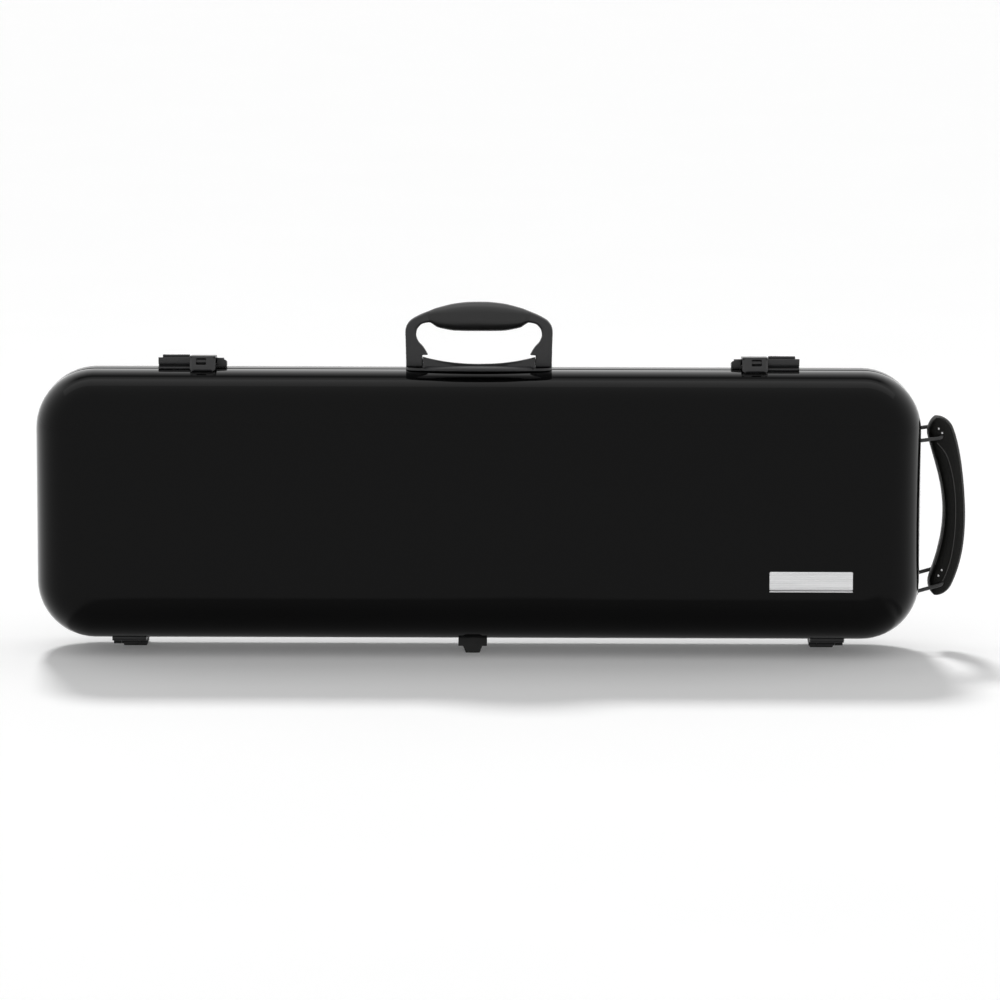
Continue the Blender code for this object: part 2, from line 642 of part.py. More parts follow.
def latch(word, side, base, lid, hasp_body, slide_body):
    """One latch: housing with a groove, turning hasp on its pin, sliding bolt and keeper."""
    def across(inward):
        return side * (LATCH_X - inward)

    seat = Z_TOP + FIT
    outer = -LATCH_LENGTH / 2
    body_end = outer + LATCH_BODY_LENGTH
    hasp_start = body_end + LATCH_GAP
    hasp_end = hasp_start + HASP_WIDTH
    block_start = hasp_end + LATCH_GAP
    inner = LATCH_LENGTH / 2
    plate_top = seat + LATCH_PLATE
    body_top = Z_TOP + LATCH_BODY_HEIGHT
    block_top = Z_TOP + LATCH_BLOCK_HEIGHT
    outline = [
        (outer, seat),
        (inner, seat),
        (inner, block_top - LATCH_CHAMFER),
        (inner - LATCH_CHAMFER, block_top),
        (block_start, block_top),
        (block_start, plate_top),
        (body_end, plate_top),
        (body_end, body_top),
        (outer + LATCH_GAP, body_top),
        (outer, body_top - LATCH_GAP),
    ]
    back = LATCH_SETBACK + LATCH_DEPTH
    outline = [(across(u), z) for u, z in outline]
    housing = add_piece(
        f"latch_{word}_housing", prism(outline, LATCH_SETBACK, back, "y"), SATIN_BLACK, base
    )
    keel_y = LATCH_SETBACK + SLIDE_WIDTH / 2
    groove = SLIDE_KEEL_WIDTH / 2 + FIT
    groove_floor = body_top - SLIDE_KEEL_DEPTH
    groove_ends = (across(outer - LATCH_GAP), across(body_end + LATCH_GAP))
    groove_box = box(
        groove_ends, (keel_y - groove, keel_y + groove), (groove_floor, body_top + LATCH_GAP)
    )
    cut(housing, groove_box)
    axis = (HASP_AXIS_Y, Z_TOP + HASP_AXIS_Z)
    pin_ends = (across(body_end - HASP_PIN_BITE), across(block_start + HASP_PIN_BITE))
    bore_ends = (across(body_end - HASP_PIN_BITE - FIT), across(block_start + HASP_PIN_BITE + FIT))
    bore = circle(axis, HASP_PIN + FIT)
    cut(housing, prism(bore, *bore_ends, "x"))
    add_piece(f"latch_{word}_pin", prism(circle(axis, HASP_PIN), *pin_ends, "x"), STEEL, base)

    top = Z_TOP + HASP_HEIGHT
    under = top - HASP_TOP
    low = Z_TOP + HASP_LIFT
    face = -HASP_REACH
    lip = face + HASP_FRONT
    knuckle = arc(axis, HASP_KNUCKLE, HASP_KNUCKLE_START, -180, CIRCLE_SIDES // 2)
    outline = [(face, low), (face, top - HASP_TOP / 2), (face + HASP_TOP / 2, top)]
    outline += [(axis[0] + HASP_TOP / 2, top)]
    outline += knuckle
    outline += [(axis[0] - HASP_KNUCKLE, under), (lip, under), (lip, low)]
    hasp = add_piece(
        f"latch_{word}_hasp",
        prism(outline, across(hasp_start), across(hasp_end), "x"),
        SATIN_BLACK,
        hasp_body,
    )
    cut(hasp, prism(bore, across(hasp_start - LATCH_GAP), across(hasp_end + LATCH_GAP), "x"))
    window_mid = (hasp_start + hasp_end) / 2
    window_x = (
        across(window_mid - HASP_WINDOW_WIDTH / 2),
        across(window_mid + HASP_WINDOW_WIDTH / 2),
    )
    window_z = (under - FIT - HASP_WINDOW_HEIGHT, under - FIT)
    cut(hasp, box(window_x, (face - LATCH_GAP, lip + LATCH_GAP), window_z))

    nose = lip + KEEPER_GAP
    stem_back = nose + KEEPER_STEM + KEEPER_PLATE
    nose_top = under - 2 * LATCH_GAP
    plate = seat + KEEPER_PLATE
    outline = [
        (nose + KEEPER_PLATE / 2, seat),
        (-KEEPER_BACK, seat),
        (-KEEPER_BACK, plate),
        (stem_back, plate),
        (stem_back, nose_top),
        (nose + KEEPER_PLATE / 2, nose_top),
        (nose, nose_top - KEEPER_PLATE / 2),
        (nose, plate + KEEPER_PLATE),
        (nose + KEEPER_PLATE / 2, plate + KEEPER_PLATE / 2),
    ]
    half = KEEPER_WIDTH / 2
    keeper = prism(outline, across(window_mid - half), across(window_mid + half), "x")
    add_piece(f"latch_{word}_keeper", keeper, SATIN_BLACK, lid)

    bar_low = body_top + FIT
    keel = SLIDE_KEEL_WIDTH / 2
    outline = [
        (keel_y - keel, groove_floor + FIT),
        (keel_y + keel, groove_floor + FIT),
        (keel_y + keel, bar_low),
        (keel_y + SLIDE_WIDTH / 2, bar_low),
        (keel_y + SLIDE_WIDTH / 2, top),
        (keel_y - SLIDE_WIDTH / 2, top),
        (keel_y - SLIDE_WIDTH / 2, bar_low),
        (keel_y - keel, bar_low),
    ]
    slide_start = outer + SLIDE_TRAVEL
    slide = prism(outline, across(slide_start), across(slide_start + SLIDE_LENGTH), "x")
    add_piece(f"latch_{word}_slide", slide, SATIN_BLACK, slide_body)


def handle_mount(base):
    """The saddle on the base's edge: a flange and a ridge that dips between the posts."""
    half = HANDLE_WIDTH / 2
    ridge_end = half - HANDLE_POST_WIDTH - FIT
    outline = rounded_rectangle(
        (0, HANDLE_AXIS_Y), HANDLE_WIDTH, MOUNT_DEPTH, HANDLE_POST_ROUND, 3
    )
    mount = add_piece("handle_mount", prism(outline, Z_TOP + FIT, MOUNT_TOP, "z"), SATIN_BLACK, base)
    crown = HANDLE_AXIS_Z + MOUNT_RIDGE
    dip = MOUNT_TOP + MOUNT_DIP
    rings = []
    for step in range(GRIP_STEPS + 1):
        share = 2 * step / GRIP_STEPS - 1
        top = dip + (crown - dip) * share**2
        shoulder = top - min(MOUNT_RIDGE, top - MOUNT_TOP)
        rise = top - shoulder
        edge = [(-MOUNT_RIDGE, MOUNT_TOP - MOUNT_FLANGE / 2)]
        for y, z in arc((0, 0), 1, 180, 0, CIRCLE_SIDES // 2):
            edge.append((MOUNT_RIDGE * y, shoulder + rise * z))
        edge.append((MOUNT_RIDGE, MOUNT_TOP - MOUNT_FLANGE / 2))
        rings.append([(share * ridge_end, HANDLE_AXIS_Y + y, z) for y, z in edge])
    join(mount, loft(rings))
    axis = (HANDLE_AXIS_Y, HANDLE_AXIS_Z)
    for word, side in (("left", -1), ("right", 1)):
        start = side * ridge_end * (1 - HANDLE_PIN_SHARE)
        end = side * half
        bore = prism(circle(axis, HANDLE_PIN + FIT), start - side * FIT, end + side * FIT, "x")
        cut(mount, bore)
        pin = prism(circle(axis, HANDLE_PIN), start, end, "x")
        add_piece(f"handle_pin_{word}", pin, STEEL, base)


def flat_ring(place, along, thick, depth, corner):
    """A cross-section with round corners, in the plane of a direction in x and z, and Y."""
    ring = []
    corner = min(corner, thick / 3, depth / 3)
    for across, y in rounded_rectangle((0, 0), thick, depth, corner, 3):
        ring.append((place[0] + along[0] * across, HANDLE_AXIS_Y + y, place[1] + along[1] * across))
    return ring


def handle_frame(body):
    """The arch of the carrying handle: two posts that turn in to a slim core."""
    half = HANDLE_WIDTH / 2 - HANDLE_POST_WIDTH / 2
    shoulder = Z_TOP + HANDLE_SHOULDER_Z
    core = Z_TOP + HANDLE_CORE_Z
    bend = core - shoulder
    grip_end = GRIP_LENGTH / 2 + FIT
    stations = []
    for step in range(HANDLE_FOOT_STEPS + 1):
        turn = math.radians(HANDLE_FOOT_TURN * (step / HANDLE_FOOT_STEPS - 1))
        depth = HANDLE_POST_DEPTH * math.cos(turn)
        stations.append((half, HANDLE_AXIS_Z + POST_REACH * math.sin(turn), 0, HANDLE_POST_WIDTH, depth))
    for step in range(HANDLE_STEPS + 1):
        share = step / HANDLE_STEPS
        turn = math.pi / 2 * share
        x = half - (half - grip_end) * (1 - math.cos(turn))
        thick = HANDLE_POST_WIDTH + (GRIP_END_HEIGHT - HANDLE_POST_WIDTH) * share
        stations.append((x, shoulder + bend * math.sin(turn), turn, thick, HANDLE_POST_DEPTH))
    mirrored = [(-x, z, math.pi - turn, *size) for x, z, turn, *size in reversed(stations)]
    rings = []
    for x, z, turn, thick, depth in stations:
        along = (math.cos(turn), math.sin(turn))
        rings.append(flat_ring((x, z), along, thick, depth, HANDLE_POST_ROUND))
    for x in (grip_end, -grip_end):
        rings.append(flat_ring((x, core), (0, 1), HANDLE_CORE, HANDLE_CORE, HANDLE_CORE / 4))
    for x, z, turn, thick, depth in mirrored:
        along = (math.cos(turn), math.sin(turn))
        rings.append(flat_ring((x, z), along, thick, depth, HANDLE_POST_ROUND))
    frame = add_piece("handle_frame", loft(rings), SATIN_BLACK, body)
    bore = circle((HANDLE_AXIS_Y, HANDLE_AXIS_Z), HANDLE_PIN + FIT)
    outside = HANDLE_WIDTH / 2 + 2 * FIT
    inside = HANDLE_WIDTH / 2 - HANDLE_POST_WIDTH - 2 * FIT
    for side in (-1, 1):
        cut(frame, prism(bore, side * inside, side * outside, "x"))


def handle_grip(body):
    """The soft grip round the core: fullest in the middle, with a rounder crown than belly."""
    core = Z_TOP + HANDLE_CORE_Z
    crown = HANDLE_HEIGHT - HANDLE_CORE_Z
    outer = []
    for step in range(GRIP_STEPS + 1):
        share = 2 * step / GRIP_STEPS - 1
        swell = 1 - share**2
        up = GRIP_END_HEIGHT / 2 + (crown - GRIP_END_HEIGHT / 2) * swell
        down = GRIP_END_HEIGHT / 2 + (GRIP_DROP - GRIP_END_HEIGHT / 2) * math.sqrt(swell)
        deep = (GRIP_END_DEPTH + (GRIP_DEPTH - GRIP_END_DEPTH) * math.sqrt(swell)) / 2
        ring = []
        for across, y in circle((0, 0), 1):
            ring.append((up * across if across > 0 else down * across, deep * y))
        outer.append([
            (share * GRIP_LENGTH / 2, HANDLE_AXIS_Y + y, core + across) for across, y in ring
        ])
    bore = HANDLE_CORE + 2 * FIT
    inner = [
        flat_ring((end * GRIP_LENGTH / 2, core), (0, 1), bore, bore, bore / 4) for end in (1, -1)
    ]
    inner = [ring[-2:] + ring[:-2] for ring in inner]
    add_piece("handle_grip", loft(outer + inner, closed=True), RUBBER_BLACK, body)


def strap_centre(share):
    """Where the strap handle's middle lies: bowed out from the end, for a share of -1 to 1."""
    x = CASE_END + STRAP_REACH - STRAP_THICKNESS / 2 - STRAP_BOW * share**2
    return x, STRAP_Z + share * STRAP_LENGTH / 2


def strap_handle(base):
    """The padded strap on the end, with round ends and a hole across each for its wire loop."""
    stations = []
    flat = 1 - STRAP_END_SHARE
    for step in range(1, STRAP_STEPS // 2):
        turn = math.pi / 2 * (1 - step / (STRAP_STEPS // 2))
        stations.append((-flat - STRAP_END_SHARE * math.sin(turn), math.cos(turn)))
    for step in range(STRAP_STEPS + 1):
        stations.append((flat * (2 * step / STRAP_STEPS - 1), 1))
    stations += [(-share, size) for share, size in reversed(stations[: STRAP_STEPS // 2 - 1])]
    corner = STRAP_THICKNESS / 3
    rings = []
    for share, size in stations:
        x, z = strap_centre(share)
        thick = STRAP_THICKNESS * size
        side = rounded_rectangle((x, STRAP_Y), thick, STRAP_WIDTH, min(corner, thick / 3), 3)
        rings.append([(px, py, z) for px, py in side])
    strap = add_piece("strap_handle", loft(rings), LEATHER_BLACK, base)
    shell = bpy.data.objects["base_shell"]
    for word, up in (("upper", 1), ("lower", -1)):
        x, z = strap_centre(up * LOOP_SPACING / STRAP_LENGTH)
        reach = STRAP_WIDTH / 2 + LOOP_CLEARANCE
        hole = circle((x, z), LOOP_WIRE + FIT)
        cut(strap, prism(hole, STRAP_Y - reach, STRAP_Y + reach, "y"))
        wire_loop(f"strap_loop_{word}", x, z, base)
        leg = reach + LOOP_WIRE
        for y in (STRAP_Y - leg, STRAP_Y + leg):
            bore = circle((y, z), LOOP_WIRE + FIT)
            inside = inner_face(y + LOOP_HEAD) - LOOP_WIRE
            cut(shell, prism(bore, inside, CASE_END + SHELL_WALL, "x"))


def wire_loop(name, x, z, base):
    """A bent wire through the strap: two legs through the case's end, headed inside it."""
    leg = STRAP_WIDTH / 2 + LOOP_CLEARANCE + LOOP_WIRE
    heads = [inner_face(STRAP_Y + side * leg + LOOP_HEAD) for side in (1, -1)]
    bend = []
    for turn in (0, 30, 60, 90):
        angle = math.radians(turn)
        bend_x = x - LOOP_BEND + LOOP_BEND * math.sin(angle)
        bend.append((bend_x, leg - LOOP_BEND + LOOP_BEND * math.cos(angle), LOOP_WIRE))
    ends = []
    for side, head in zip((1, -1), heads):
        end = [(head - LOOP_WIRE, LOOP_HEAD), (head, LOOP_HEAD), (head, LOOP_WIRE)]
        ends.append([(px, side * leg, radius) for px, radius in end])
    far_bend = [(px, -py, radius) for px, py, radius in reversed(bend)]
    full = ends[0] + bend + far_bend + ends[1][::-1]
    rings = []
    for index, (px, py, radius) in enumerate(full):
        before = full[max(index - 1, 0)]
        after = full[min(index + 1, len(full) - 1)]
        heading = Vector((after[0] - before[0], after[1] - before[1])).normalized()
        ring = []
        for side, up in circle((0, 0), radius):
            ring.append((px - heading.y * side, STRAP_Y + py + heading.x * side, z + up))
        rings.append(ring)
    add_piece(name, loft(rings), DARK_STEEL, base)


def inner_face(y):
    """The x of the end wall's inside at one depth of the base, clear of its facets."""
    radius = BASE_EDGE_RADIUS - SHELL_WALL
    past = max(y - (BASE_DEPTH - BASE_EDGE_RADIUS), 0)
    facet = radius * (1 - math.cos(math.pi / 4 / EDGE_STEPS)) if past else 0
    return CASE_END - SHELL_WALL - radius + math.sqrt(radius**2 - past**2) - facet - FIT


def name_plate(lid):
    """The plain metal plate on the lid's face."""
    outline = rounded_rectangle((PLATE_X, PLATE_Z), PLATE_WIDTH, PLATE_HEIGHT, PLATE_CORNER, 3)
    plate = prism(outline, PLATE_FACE, PLATE_FACE + PLATE_THICKNESS, "y")
    add_piece("name_plate", plate, PALE_METAL, lid)


def main():
    """Build the case: bodies first, then their pieces."""
    clear_scene()
    shift = Vector((-STRAP_REACH / 2, -(BASE_DEPTH + PLATE_FACE) / 2, 0))
    case = add_empty("case", shift)
    base = add_empty("base_body", (0, 0, 0), case)
    lid = add_empty("lid_body", (0, 0, HINGE_Z), case)
    handle = add_empty("handle_body", (0, HANDLE_AXIS_Y, HANDLE_AXIS_Z), case)
    pocket = add_empty("pocket_body", (POCKET_X, POCKET_LID_BACK, POCKET_HINGE_Z), case)

    half_shell("base_shell", BASE_DEPTH, BASE_EDGE_RADIUS, 1, base)
    half_shell("lid_shell", LID_DEPTH, LID_EDGE_RADIUS, -1, lid)
    half_rim("base_rim", 1, True, base)
    half_rim("lid_rim", -1, False, lid)
    rim_seal(base)
    base_lining(base)
    neck_fittings(base)
    pocket_lid(pocket)
    lid_lining(lid)
    clips = []
    for word, up in (("upper", 1), ("lower", -1)):
        place = (BOW_CLIP_X, LID_FLOOR, Z_MID + up * BOW_Z)
        clips.append(add_empty(f"bow_clip_{word}_body", place, case))
    bow_fittings(lid, clips)
    for word, side in (("left", -1), ("right", 1)):
        hinge(word, side * HINGE_X, base, lid)
        hasp_place = (side * LATCH_X, HASP_AXIS_Y, Z_TOP + HASP_AXIS_Z)
        hasp = add_empty(f"latch_{word}_hasp_body", hasp_place, case)
        slide_place = (side * LATCH_X, LATCH_SETBACK + SLIDE_WIDTH / 2, Z_TOP)
        slide = add_empty(f"latch_{word}_slide_body", slide_place, case)
        latch(word, side, base, lid, hasp, slide)
    feet(base, lid)
    handle_mount(base)
    handle_frame(handle)
    handle_grip(handle)
    strap_handle(base)
    name_plate(lid)


main()
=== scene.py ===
# %% [markdown]
# # A violin case, dressed over its CAD frame
# The case was first built as plain solids that fit, turn and slide.  This lesson loads those solids
# as a fixed frame and gives each of them the surface that the eye expects: a lacquered shell whose
# reflections run without a break, a padded leather strap, moulded fittings and plush inside.

import math

import bmesh
import bpy
import numpy as np
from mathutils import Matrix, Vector
from mathutils.geometry import delaunay_2d_cdt


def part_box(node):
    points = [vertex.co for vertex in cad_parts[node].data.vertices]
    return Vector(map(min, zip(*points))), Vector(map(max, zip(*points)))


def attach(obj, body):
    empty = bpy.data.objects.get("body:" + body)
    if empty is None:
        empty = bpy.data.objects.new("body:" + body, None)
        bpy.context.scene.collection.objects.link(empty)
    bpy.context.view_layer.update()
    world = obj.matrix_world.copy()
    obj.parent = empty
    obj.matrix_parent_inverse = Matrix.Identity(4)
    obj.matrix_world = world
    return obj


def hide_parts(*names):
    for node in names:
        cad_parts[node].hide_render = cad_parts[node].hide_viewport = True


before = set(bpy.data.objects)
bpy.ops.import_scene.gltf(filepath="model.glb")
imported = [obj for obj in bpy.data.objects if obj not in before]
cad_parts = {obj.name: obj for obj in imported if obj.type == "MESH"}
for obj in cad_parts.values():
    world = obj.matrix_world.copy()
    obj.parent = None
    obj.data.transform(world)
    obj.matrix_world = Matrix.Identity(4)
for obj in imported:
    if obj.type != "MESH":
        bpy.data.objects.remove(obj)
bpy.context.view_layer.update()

# %% [markdown]
# ## One frame for the whole case
# The case stands on its hinge side.  Everything below is worked out in the case's own frame, in
# millimetres: x along the length from the middle, y from the lid (-) to the base (+) with 0 on the
# seam, z up from the floor.  The case's own size is read from the CAD boxes.

# %% The case's own frame
shell_low, shell_high = (np.array(corner) * 1000 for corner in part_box("base_shell"))
half_length, half_height = (shell_high - shell_low)[[0, 2]] / 2
middle_z = (shell_low[2] + shell_high[2]) / 2
top_z = shell_high[2]
foot_z = shell_low[2]
seam_y = 500 * (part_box("base_rim")[0][1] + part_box("lid_rim")[1][1])
case_origin = np.array([(shell_low[0] + shell_high[0]) / 2, seam_y, 0.0])
lid_depth = seam_y - 1000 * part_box("lid_shell")[0][1]
base_depth = shell_high[1] - seam_y
print("half size:", half_length, half_height, "depths:", lid_depth, base_depth)

# %% [markdown]
# ## From arrays to pieces
# Every new piece is a grid of points worked out at once with numpy.  A grid needs only a rule that
# joins neighbours, so one helper makes the quads for all of them.  The last helper puts the points
# into a mesh, closes its seams, turns its faces outwards, and hands the piece to its moving body.

# %% Grids, skins and pieces
def side_by_side(*parts):
    """Numbers and arrays spread to one shape and set beside each other, as x, y and z of points are."""
    return np.stack(np.broadcast_arrays(*parts), axis=-1)


def grid_faces(rows, columns, loop=False):
    """Quads between neighbours of a grid whose rows close on themselves; loop joins last to first."""
    row = np.arange(rows if loop else rows - 1)[:, None]
    column = np.arange(columns)[None, :]
    following, beside = (row + 1) % rows, (column + 1) % columns
    corners = (row * columns + column, row * columns + beside)
    corners += (following * columns + beside, following * columns + column)
    return side_by_side(*corners).reshape(-1, 4)


def skin(rings, loop=False):
    """A skin over a row of equal rings, with one flat face on each end unless the row loops."""
    rows, columns = rings.shape[:2]
    blocks = [grid_faces(rows, columns, loop)]
    if not loop:
        last = (rows - 1) * columns
        blocks += [np.arange(columns)[None], np.arange(last, last + columns)[None]]
    return rings.reshape(-1, 3), blocks


def together(*shapes):
    """Several closed shapes as one: points stacked, and face numbers moved up by what is below."""
    starts = np.cumsum([0] + [len(points) for points, _ in shapes[:-1]])
    blocks = [part + start for start, (_, own) in zip(starts, shapes) for part in own]
    return np.concatenate([points for points, _ in shapes]), blocks


def new_object(name, data):
    """An object that shows the data, put in the scene."""
    made = bpy.data.objects.new(name, data)
    bpy.context.scene.collection.objects.link(made)
    return made


def add_piece(name, shape, finish, body, stands_for=(), bevel=0.0, smooth=35):
    """One piece: point = (case point + origin) / 1000, merged, facing outwards, on its body."""
    points, blocks = shape
    mesh = bpy.data.meshes.new(name)
    faces = [corners for part in blocks for corners in part.tolist()]
    mesh.from_pydata(((points + case_origin) * 0.001).tolist(), [], faces)
    solid = bmesh.new()
    solid.from_mesh(mesh)
    bmesh.ops.remove_doubles(solid, verts=solid.verts, dist=1e-6)
    bmesh.ops.recalc_face_normals(solid, faces=solid.faces)
    solid.to_mesh(mesh)
    solid.free()
    mesh.shade_smooth()
    mesh.set_sharp_from_angle(angle=math.radians(smooth))
    mesh.materials.append(finish)
    piece = new_object(name, mesh)
    if bevel:
        step = piece.modifiers.new("soft_edges", "BEVEL")
        step.width = bevel * 0.001
        step.segments = 3
        step.limit_method = "ANGLE"
        step.angle_limit = math.radians(smooth)
        step.harden_normals = True
    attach(piece, body)
    if stands_for:
        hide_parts(*stands_for)
    print(f"{name}: {len(mesh.vertices)} points, {len(mesh.polygons)} faces")
    return piece

# %% [markdown]
# ## Studio: camera, floor and light
# The photo was taken from about 8 degrees above, from far away with a long lens, so the sides of the
# case hardly converge.  The floor is a plain pale sheet.  A soft sun from behind and above throws a
# short shadow forward, which the lower round of the lid then mirrors as its dark band.  The world
# is a studio as a glossy thing sees it: a white wall behind, a dark gap above that wall, and white
# again overhead and in front.  That gap draws the dark line along the lid's upper round.

# %% Camera
def look_at(seat, target):
    """The turn that points a camera's or lamp's -Z from its seat at the target."""
    return (Vector(target) - Vector(seat)).to_track_quat("-Z", "Y").to_euler()


view_target = np.array([-0.0027, -0.0047, 0.1370])
view_rise, view_distance, view_roll = math.radians(7.91), 4.5, 0.17
view_seat = view_target + view_distance * np.array([0, -math.cos(view_rise), math.sin(view_rise)])
camera_data = bpy.data.cameras.new("case_camera")
camera_data.lens = 178.4
camera_data.sensor_width = 36
camera_data.clip_end = 200
camera = new_object("case_camera", camera_data)
camera.location = view_seat
camera.rotation_euler = look_at(view_seat, view_target)
camera.rotation_euler.rotate_axis("Z", math.radians(view_roll))
bpy.context.scene.camera = camera
bpy.context.scene.view_settings.view_transform = "Standard"
print("camera at", view_seat.round(3))

# %% Node helpers
def node(tree, kind, inputs=None, **settings):
    """One shader node; an input is either a value or the socket that feeds it."""
    made = tree.nodes.new("ShaderNode" + kind)
    for word, value in settings.items():
        setattr(made, word, value)
    for key, value in (inputs or {}).items():
        if isinstance(value, bpy.types.NodeSocket):
            tree.links.new(value, made.inputs[key])
        else:
            made.inputs[key].default_value = value
    return made


def between(tree, value, low, high, start=0.0, end=1.0):
    """A value of 0 to 1 (or start to end) spread over the range low to high."""
    limits = {"Value": value, "From Min": start, "From Max": end, "To Min": low, "To Max": high}
    return node(tree, "MapRange", limits).outputs["Result"]


def tint(tree, share, first, second):
    """A colour that goes from the first to the second with a share."""
    colours = {0: share, 6: (*first, 1.0), 7: (*second, 1.0)}
    return node(tree, "Mix", colours, data_type="RGBA").outputs[2]


def maths(tree, operation, *values):
    """The result of one Math node."""
    return node(tree, "Math", dict(enumerate(values)), operation=operation).outputs[0]


def noise(tree, place, scale, detail, **more):
    """The value of a noise texture, 0 to 1."""
    inputs = {"Vector": place, "Scale": scale, "Detail": detail, **more}
    return node(tree, "TexNoise", inputs).outputs["Fac"]


def feed(shader, **links):
    """Sockets linked to a shader's inputs, named with _ for a space."""
    for word, socket in links.items():
        shader.id_data.links.new(socket, shader.inputs[word.replace("_", " ")])


def new_finish(name, **sockets):
    """A material with a Principled shader whose plain values are set on its own sockets."""
    finish = bpy.data.materials.new(name)
    finish.use_nodes = True
    shader = finish.node_tree.nodes["Principled BSDF"]
    for word, value in sockets.items():
        shader.inputs[word.replace("_", " ")].default_value = value
    place = node(finish.node_tree, "TexCoord").outputs["Object"]
    return finish, finish.node_tree, shader, place

# %% Floor, sun and world
def seen_share(tree):
    """1 for rays that see the studio straight, mirrored or through glass, and 0 for rays that light."""
    path = node(tree, "LightPath").outputs
    seen = maths(tree, "MAXIMUM", path["Is Camera Ray"], path["Is Glossy Ray"])
    return maths(tree, "MAXIMUM", seen, path["Is Transmission Ray"])


floor_finish, tree, shader, place = new_finish("studio_sheet", Roughness=0.9)
paper = noise(tree, place, 3.0, 3.0)
feed(shader, Base_Color=tint(tree, paper, (0.90, 0.90, 0.90), (0.93, 0.93, 0.93)))
glow = node(tree, "Emission", {"Strength": between(tree, seen_share(tree), 0, 0.11)}).outputs[0]
both = node(tree, "AddShader", {0: shader.outputs[0], 1: glow}).outputs[0]
feed(tree.nodes["Material Output"], Surface=both)
floor_mesh = bpy.data.meshes.new("studio_floor")
far = 60.0
corners = [(-far, -far, 0), (far, -far, 0), (far, far, 0), (-far, far, 0)]
floor_mesh.from_pydata(corners, [], [(0, 1, 2, 3)])
floor_mesh.materials.append(floor_finish)
floor = new_object("studio_floor", floor_mesh)


def add_lamp(name, kind, seat, target, energy, **settings):
    """A lamp at its seat, turned to its target."""
    data = bpy.data.lights.new(name, kind)
    data.energy = energy
    for word, value in settings.items():
        setattr(data, word, value)
    lamp = new_object(name, data)
    lamp.location = seat
    lamp.rotation_euler = look_at(seat, target)
    return lamp


sun = add_lamp("soft_sun", "SUN", (-0.15, 1.0, 1.05), (0, 0, 0), 2.1, angle=math.radians(9))
sun.visible_glossy = False
add_lamp("top_panel", "AREA", (0.0, 0.62, 1.9), (0, 0.62, 0), 4.4,
         shape="RECTANGLE", size=4.0, size_y=0.8)

world = bpy.data.worlds.new("studio_world")
bpy.context.scene.world = world
world.use_nodes = True
tree = world.node_tree
tree.nodes.clear()
aim = node(tree, "SeparateXYZ", {0: node(tree, "TexCoord").outputs["Generated"]}).outputs
climb = maths(tree, "ARCTAN2", aim["Z"], aim["Y"])
wall = node(tree, "ValToRGB", {"Fac": between(tree, climb, 0, 1, 0, math.pi)})
stops = [(0.0, 1.0), (0.10, 1.0), (0.155, 0.78), (0.205, 0.46), (0.245, 0.16), (0.262, 0.18)]
stops += [(0.30, 0.75), (0.34, 1.0)]
for place, _ in stops[1:-1]:
    wall.color_ramp.elements.new(place)
for element, (place, level) in zip(wall.color_ramp.elements, stops):
    element.position, element.color = place, (level, level, level, 1)
plain = (1, 1, 1, 1)
sideways = between(tree, maths(tree, "ABSOLUTE", aim["X"]), 0, 1, 0.3, 0.6)
shade = node(tree, "Mix", {0: sideways, 6: wall.outputs["Color"], 7: plain}, data_type="RGBA").outputs[2]
fill = node(tree, "Background", {"Color": plain, "Strength": 0.47}).outputs[0]
white = node(tree, "Background", {"Color": shade, "Strength": 1.0}).outputs[0]
sky = node(tree, "MixShader", {0: seen_share(tree), 1: fill, 2: white}).outputs[0]
node(tree, "OutputWorld", {"Surface": sky})

# %% [markdown]
# ## Shared effects as node groups
# Lacquer, moulded plastic, hide and pile all need small irregularities.  Each effect is built once as
# a node group with named sockets, and every finish places it with its own scale.  A group gives out
# only masks and heights; the shader itself stays in the material, so it can be baked.

# %% Group maker
def new_group(name, outputs, **inputs):
    """A node group with a Vector and float inputs, and float outputs."""
    group = bpy.data.node_groups.new(name, "ShaderNodeTree")
    group.interface.new_socket("Vector", in_out="INPUT", socket_type="NodeSocketVector")
    for word, value in inputs.items():
        socket = group.interface.new_socket(word, in_out="INPUT", socket_type="NodeSocketFloat")
        socket.default_value = value
    for word in outputs:
        group.interface.new_socket(word, in_out="OUTPUT", socket_type="NodeSocketFloat")
    start = group.nodes.new("NodeGroupInput").outputs
    end = group.nodes.new("NodeGroupOutput").inputs
    return group, start, end


def use_group(tree, group, place, **values):
    """The group placed in a material, fed with Object coordinates."""
    return node(tree, "Group", {"Vector": place, **values}, node_tree=group).outputs


def bumped(tree, shader, height, depth):
    """A height of 0 to 1 becomes a bump of that depth in metres on the shader's normal."""
    feed(shader, Normal=node(tree, "Bump", {"Height": height, "Distance": depth}).outputs["Normal"])

# %% Grain, dust, hide, pile, weave and brushing
grain, start, end = new_group("moulded_grain", ("Height", "Cloud"), Scale=1500.0)
grain.links.new(noise(grain, start["Vector"], start["Scale"], 3.0), end["Height"])
cloud = noise(grain, start["Vector"], 22.0, 4.0)
grain.links.new(between(grain, cloud, 0, 1, 0.3, 0.7), end["Cloud"])

dust, start, end = new_group("settled_dust", ("Mask",), Scale=420.0, Amount=0.5)
cell = node(dust, "TexVoronoi", {"Vector": start["Vector"], "Scale": start["Scale"]})
speck = between(dust, cell.outputs["Distance"], 1, 0, 0.05, 0.14)
patch = between(dust, noise(dust, start["Vector"], 30.0, 5.0), 0, 1, 0.5, 0.75)
mask = maths(dust, "MULTIPLY", maths(dust, "MULTIPLY", speck, patch), start["Amount"])
dust.links.new(mask, end["Mask"])

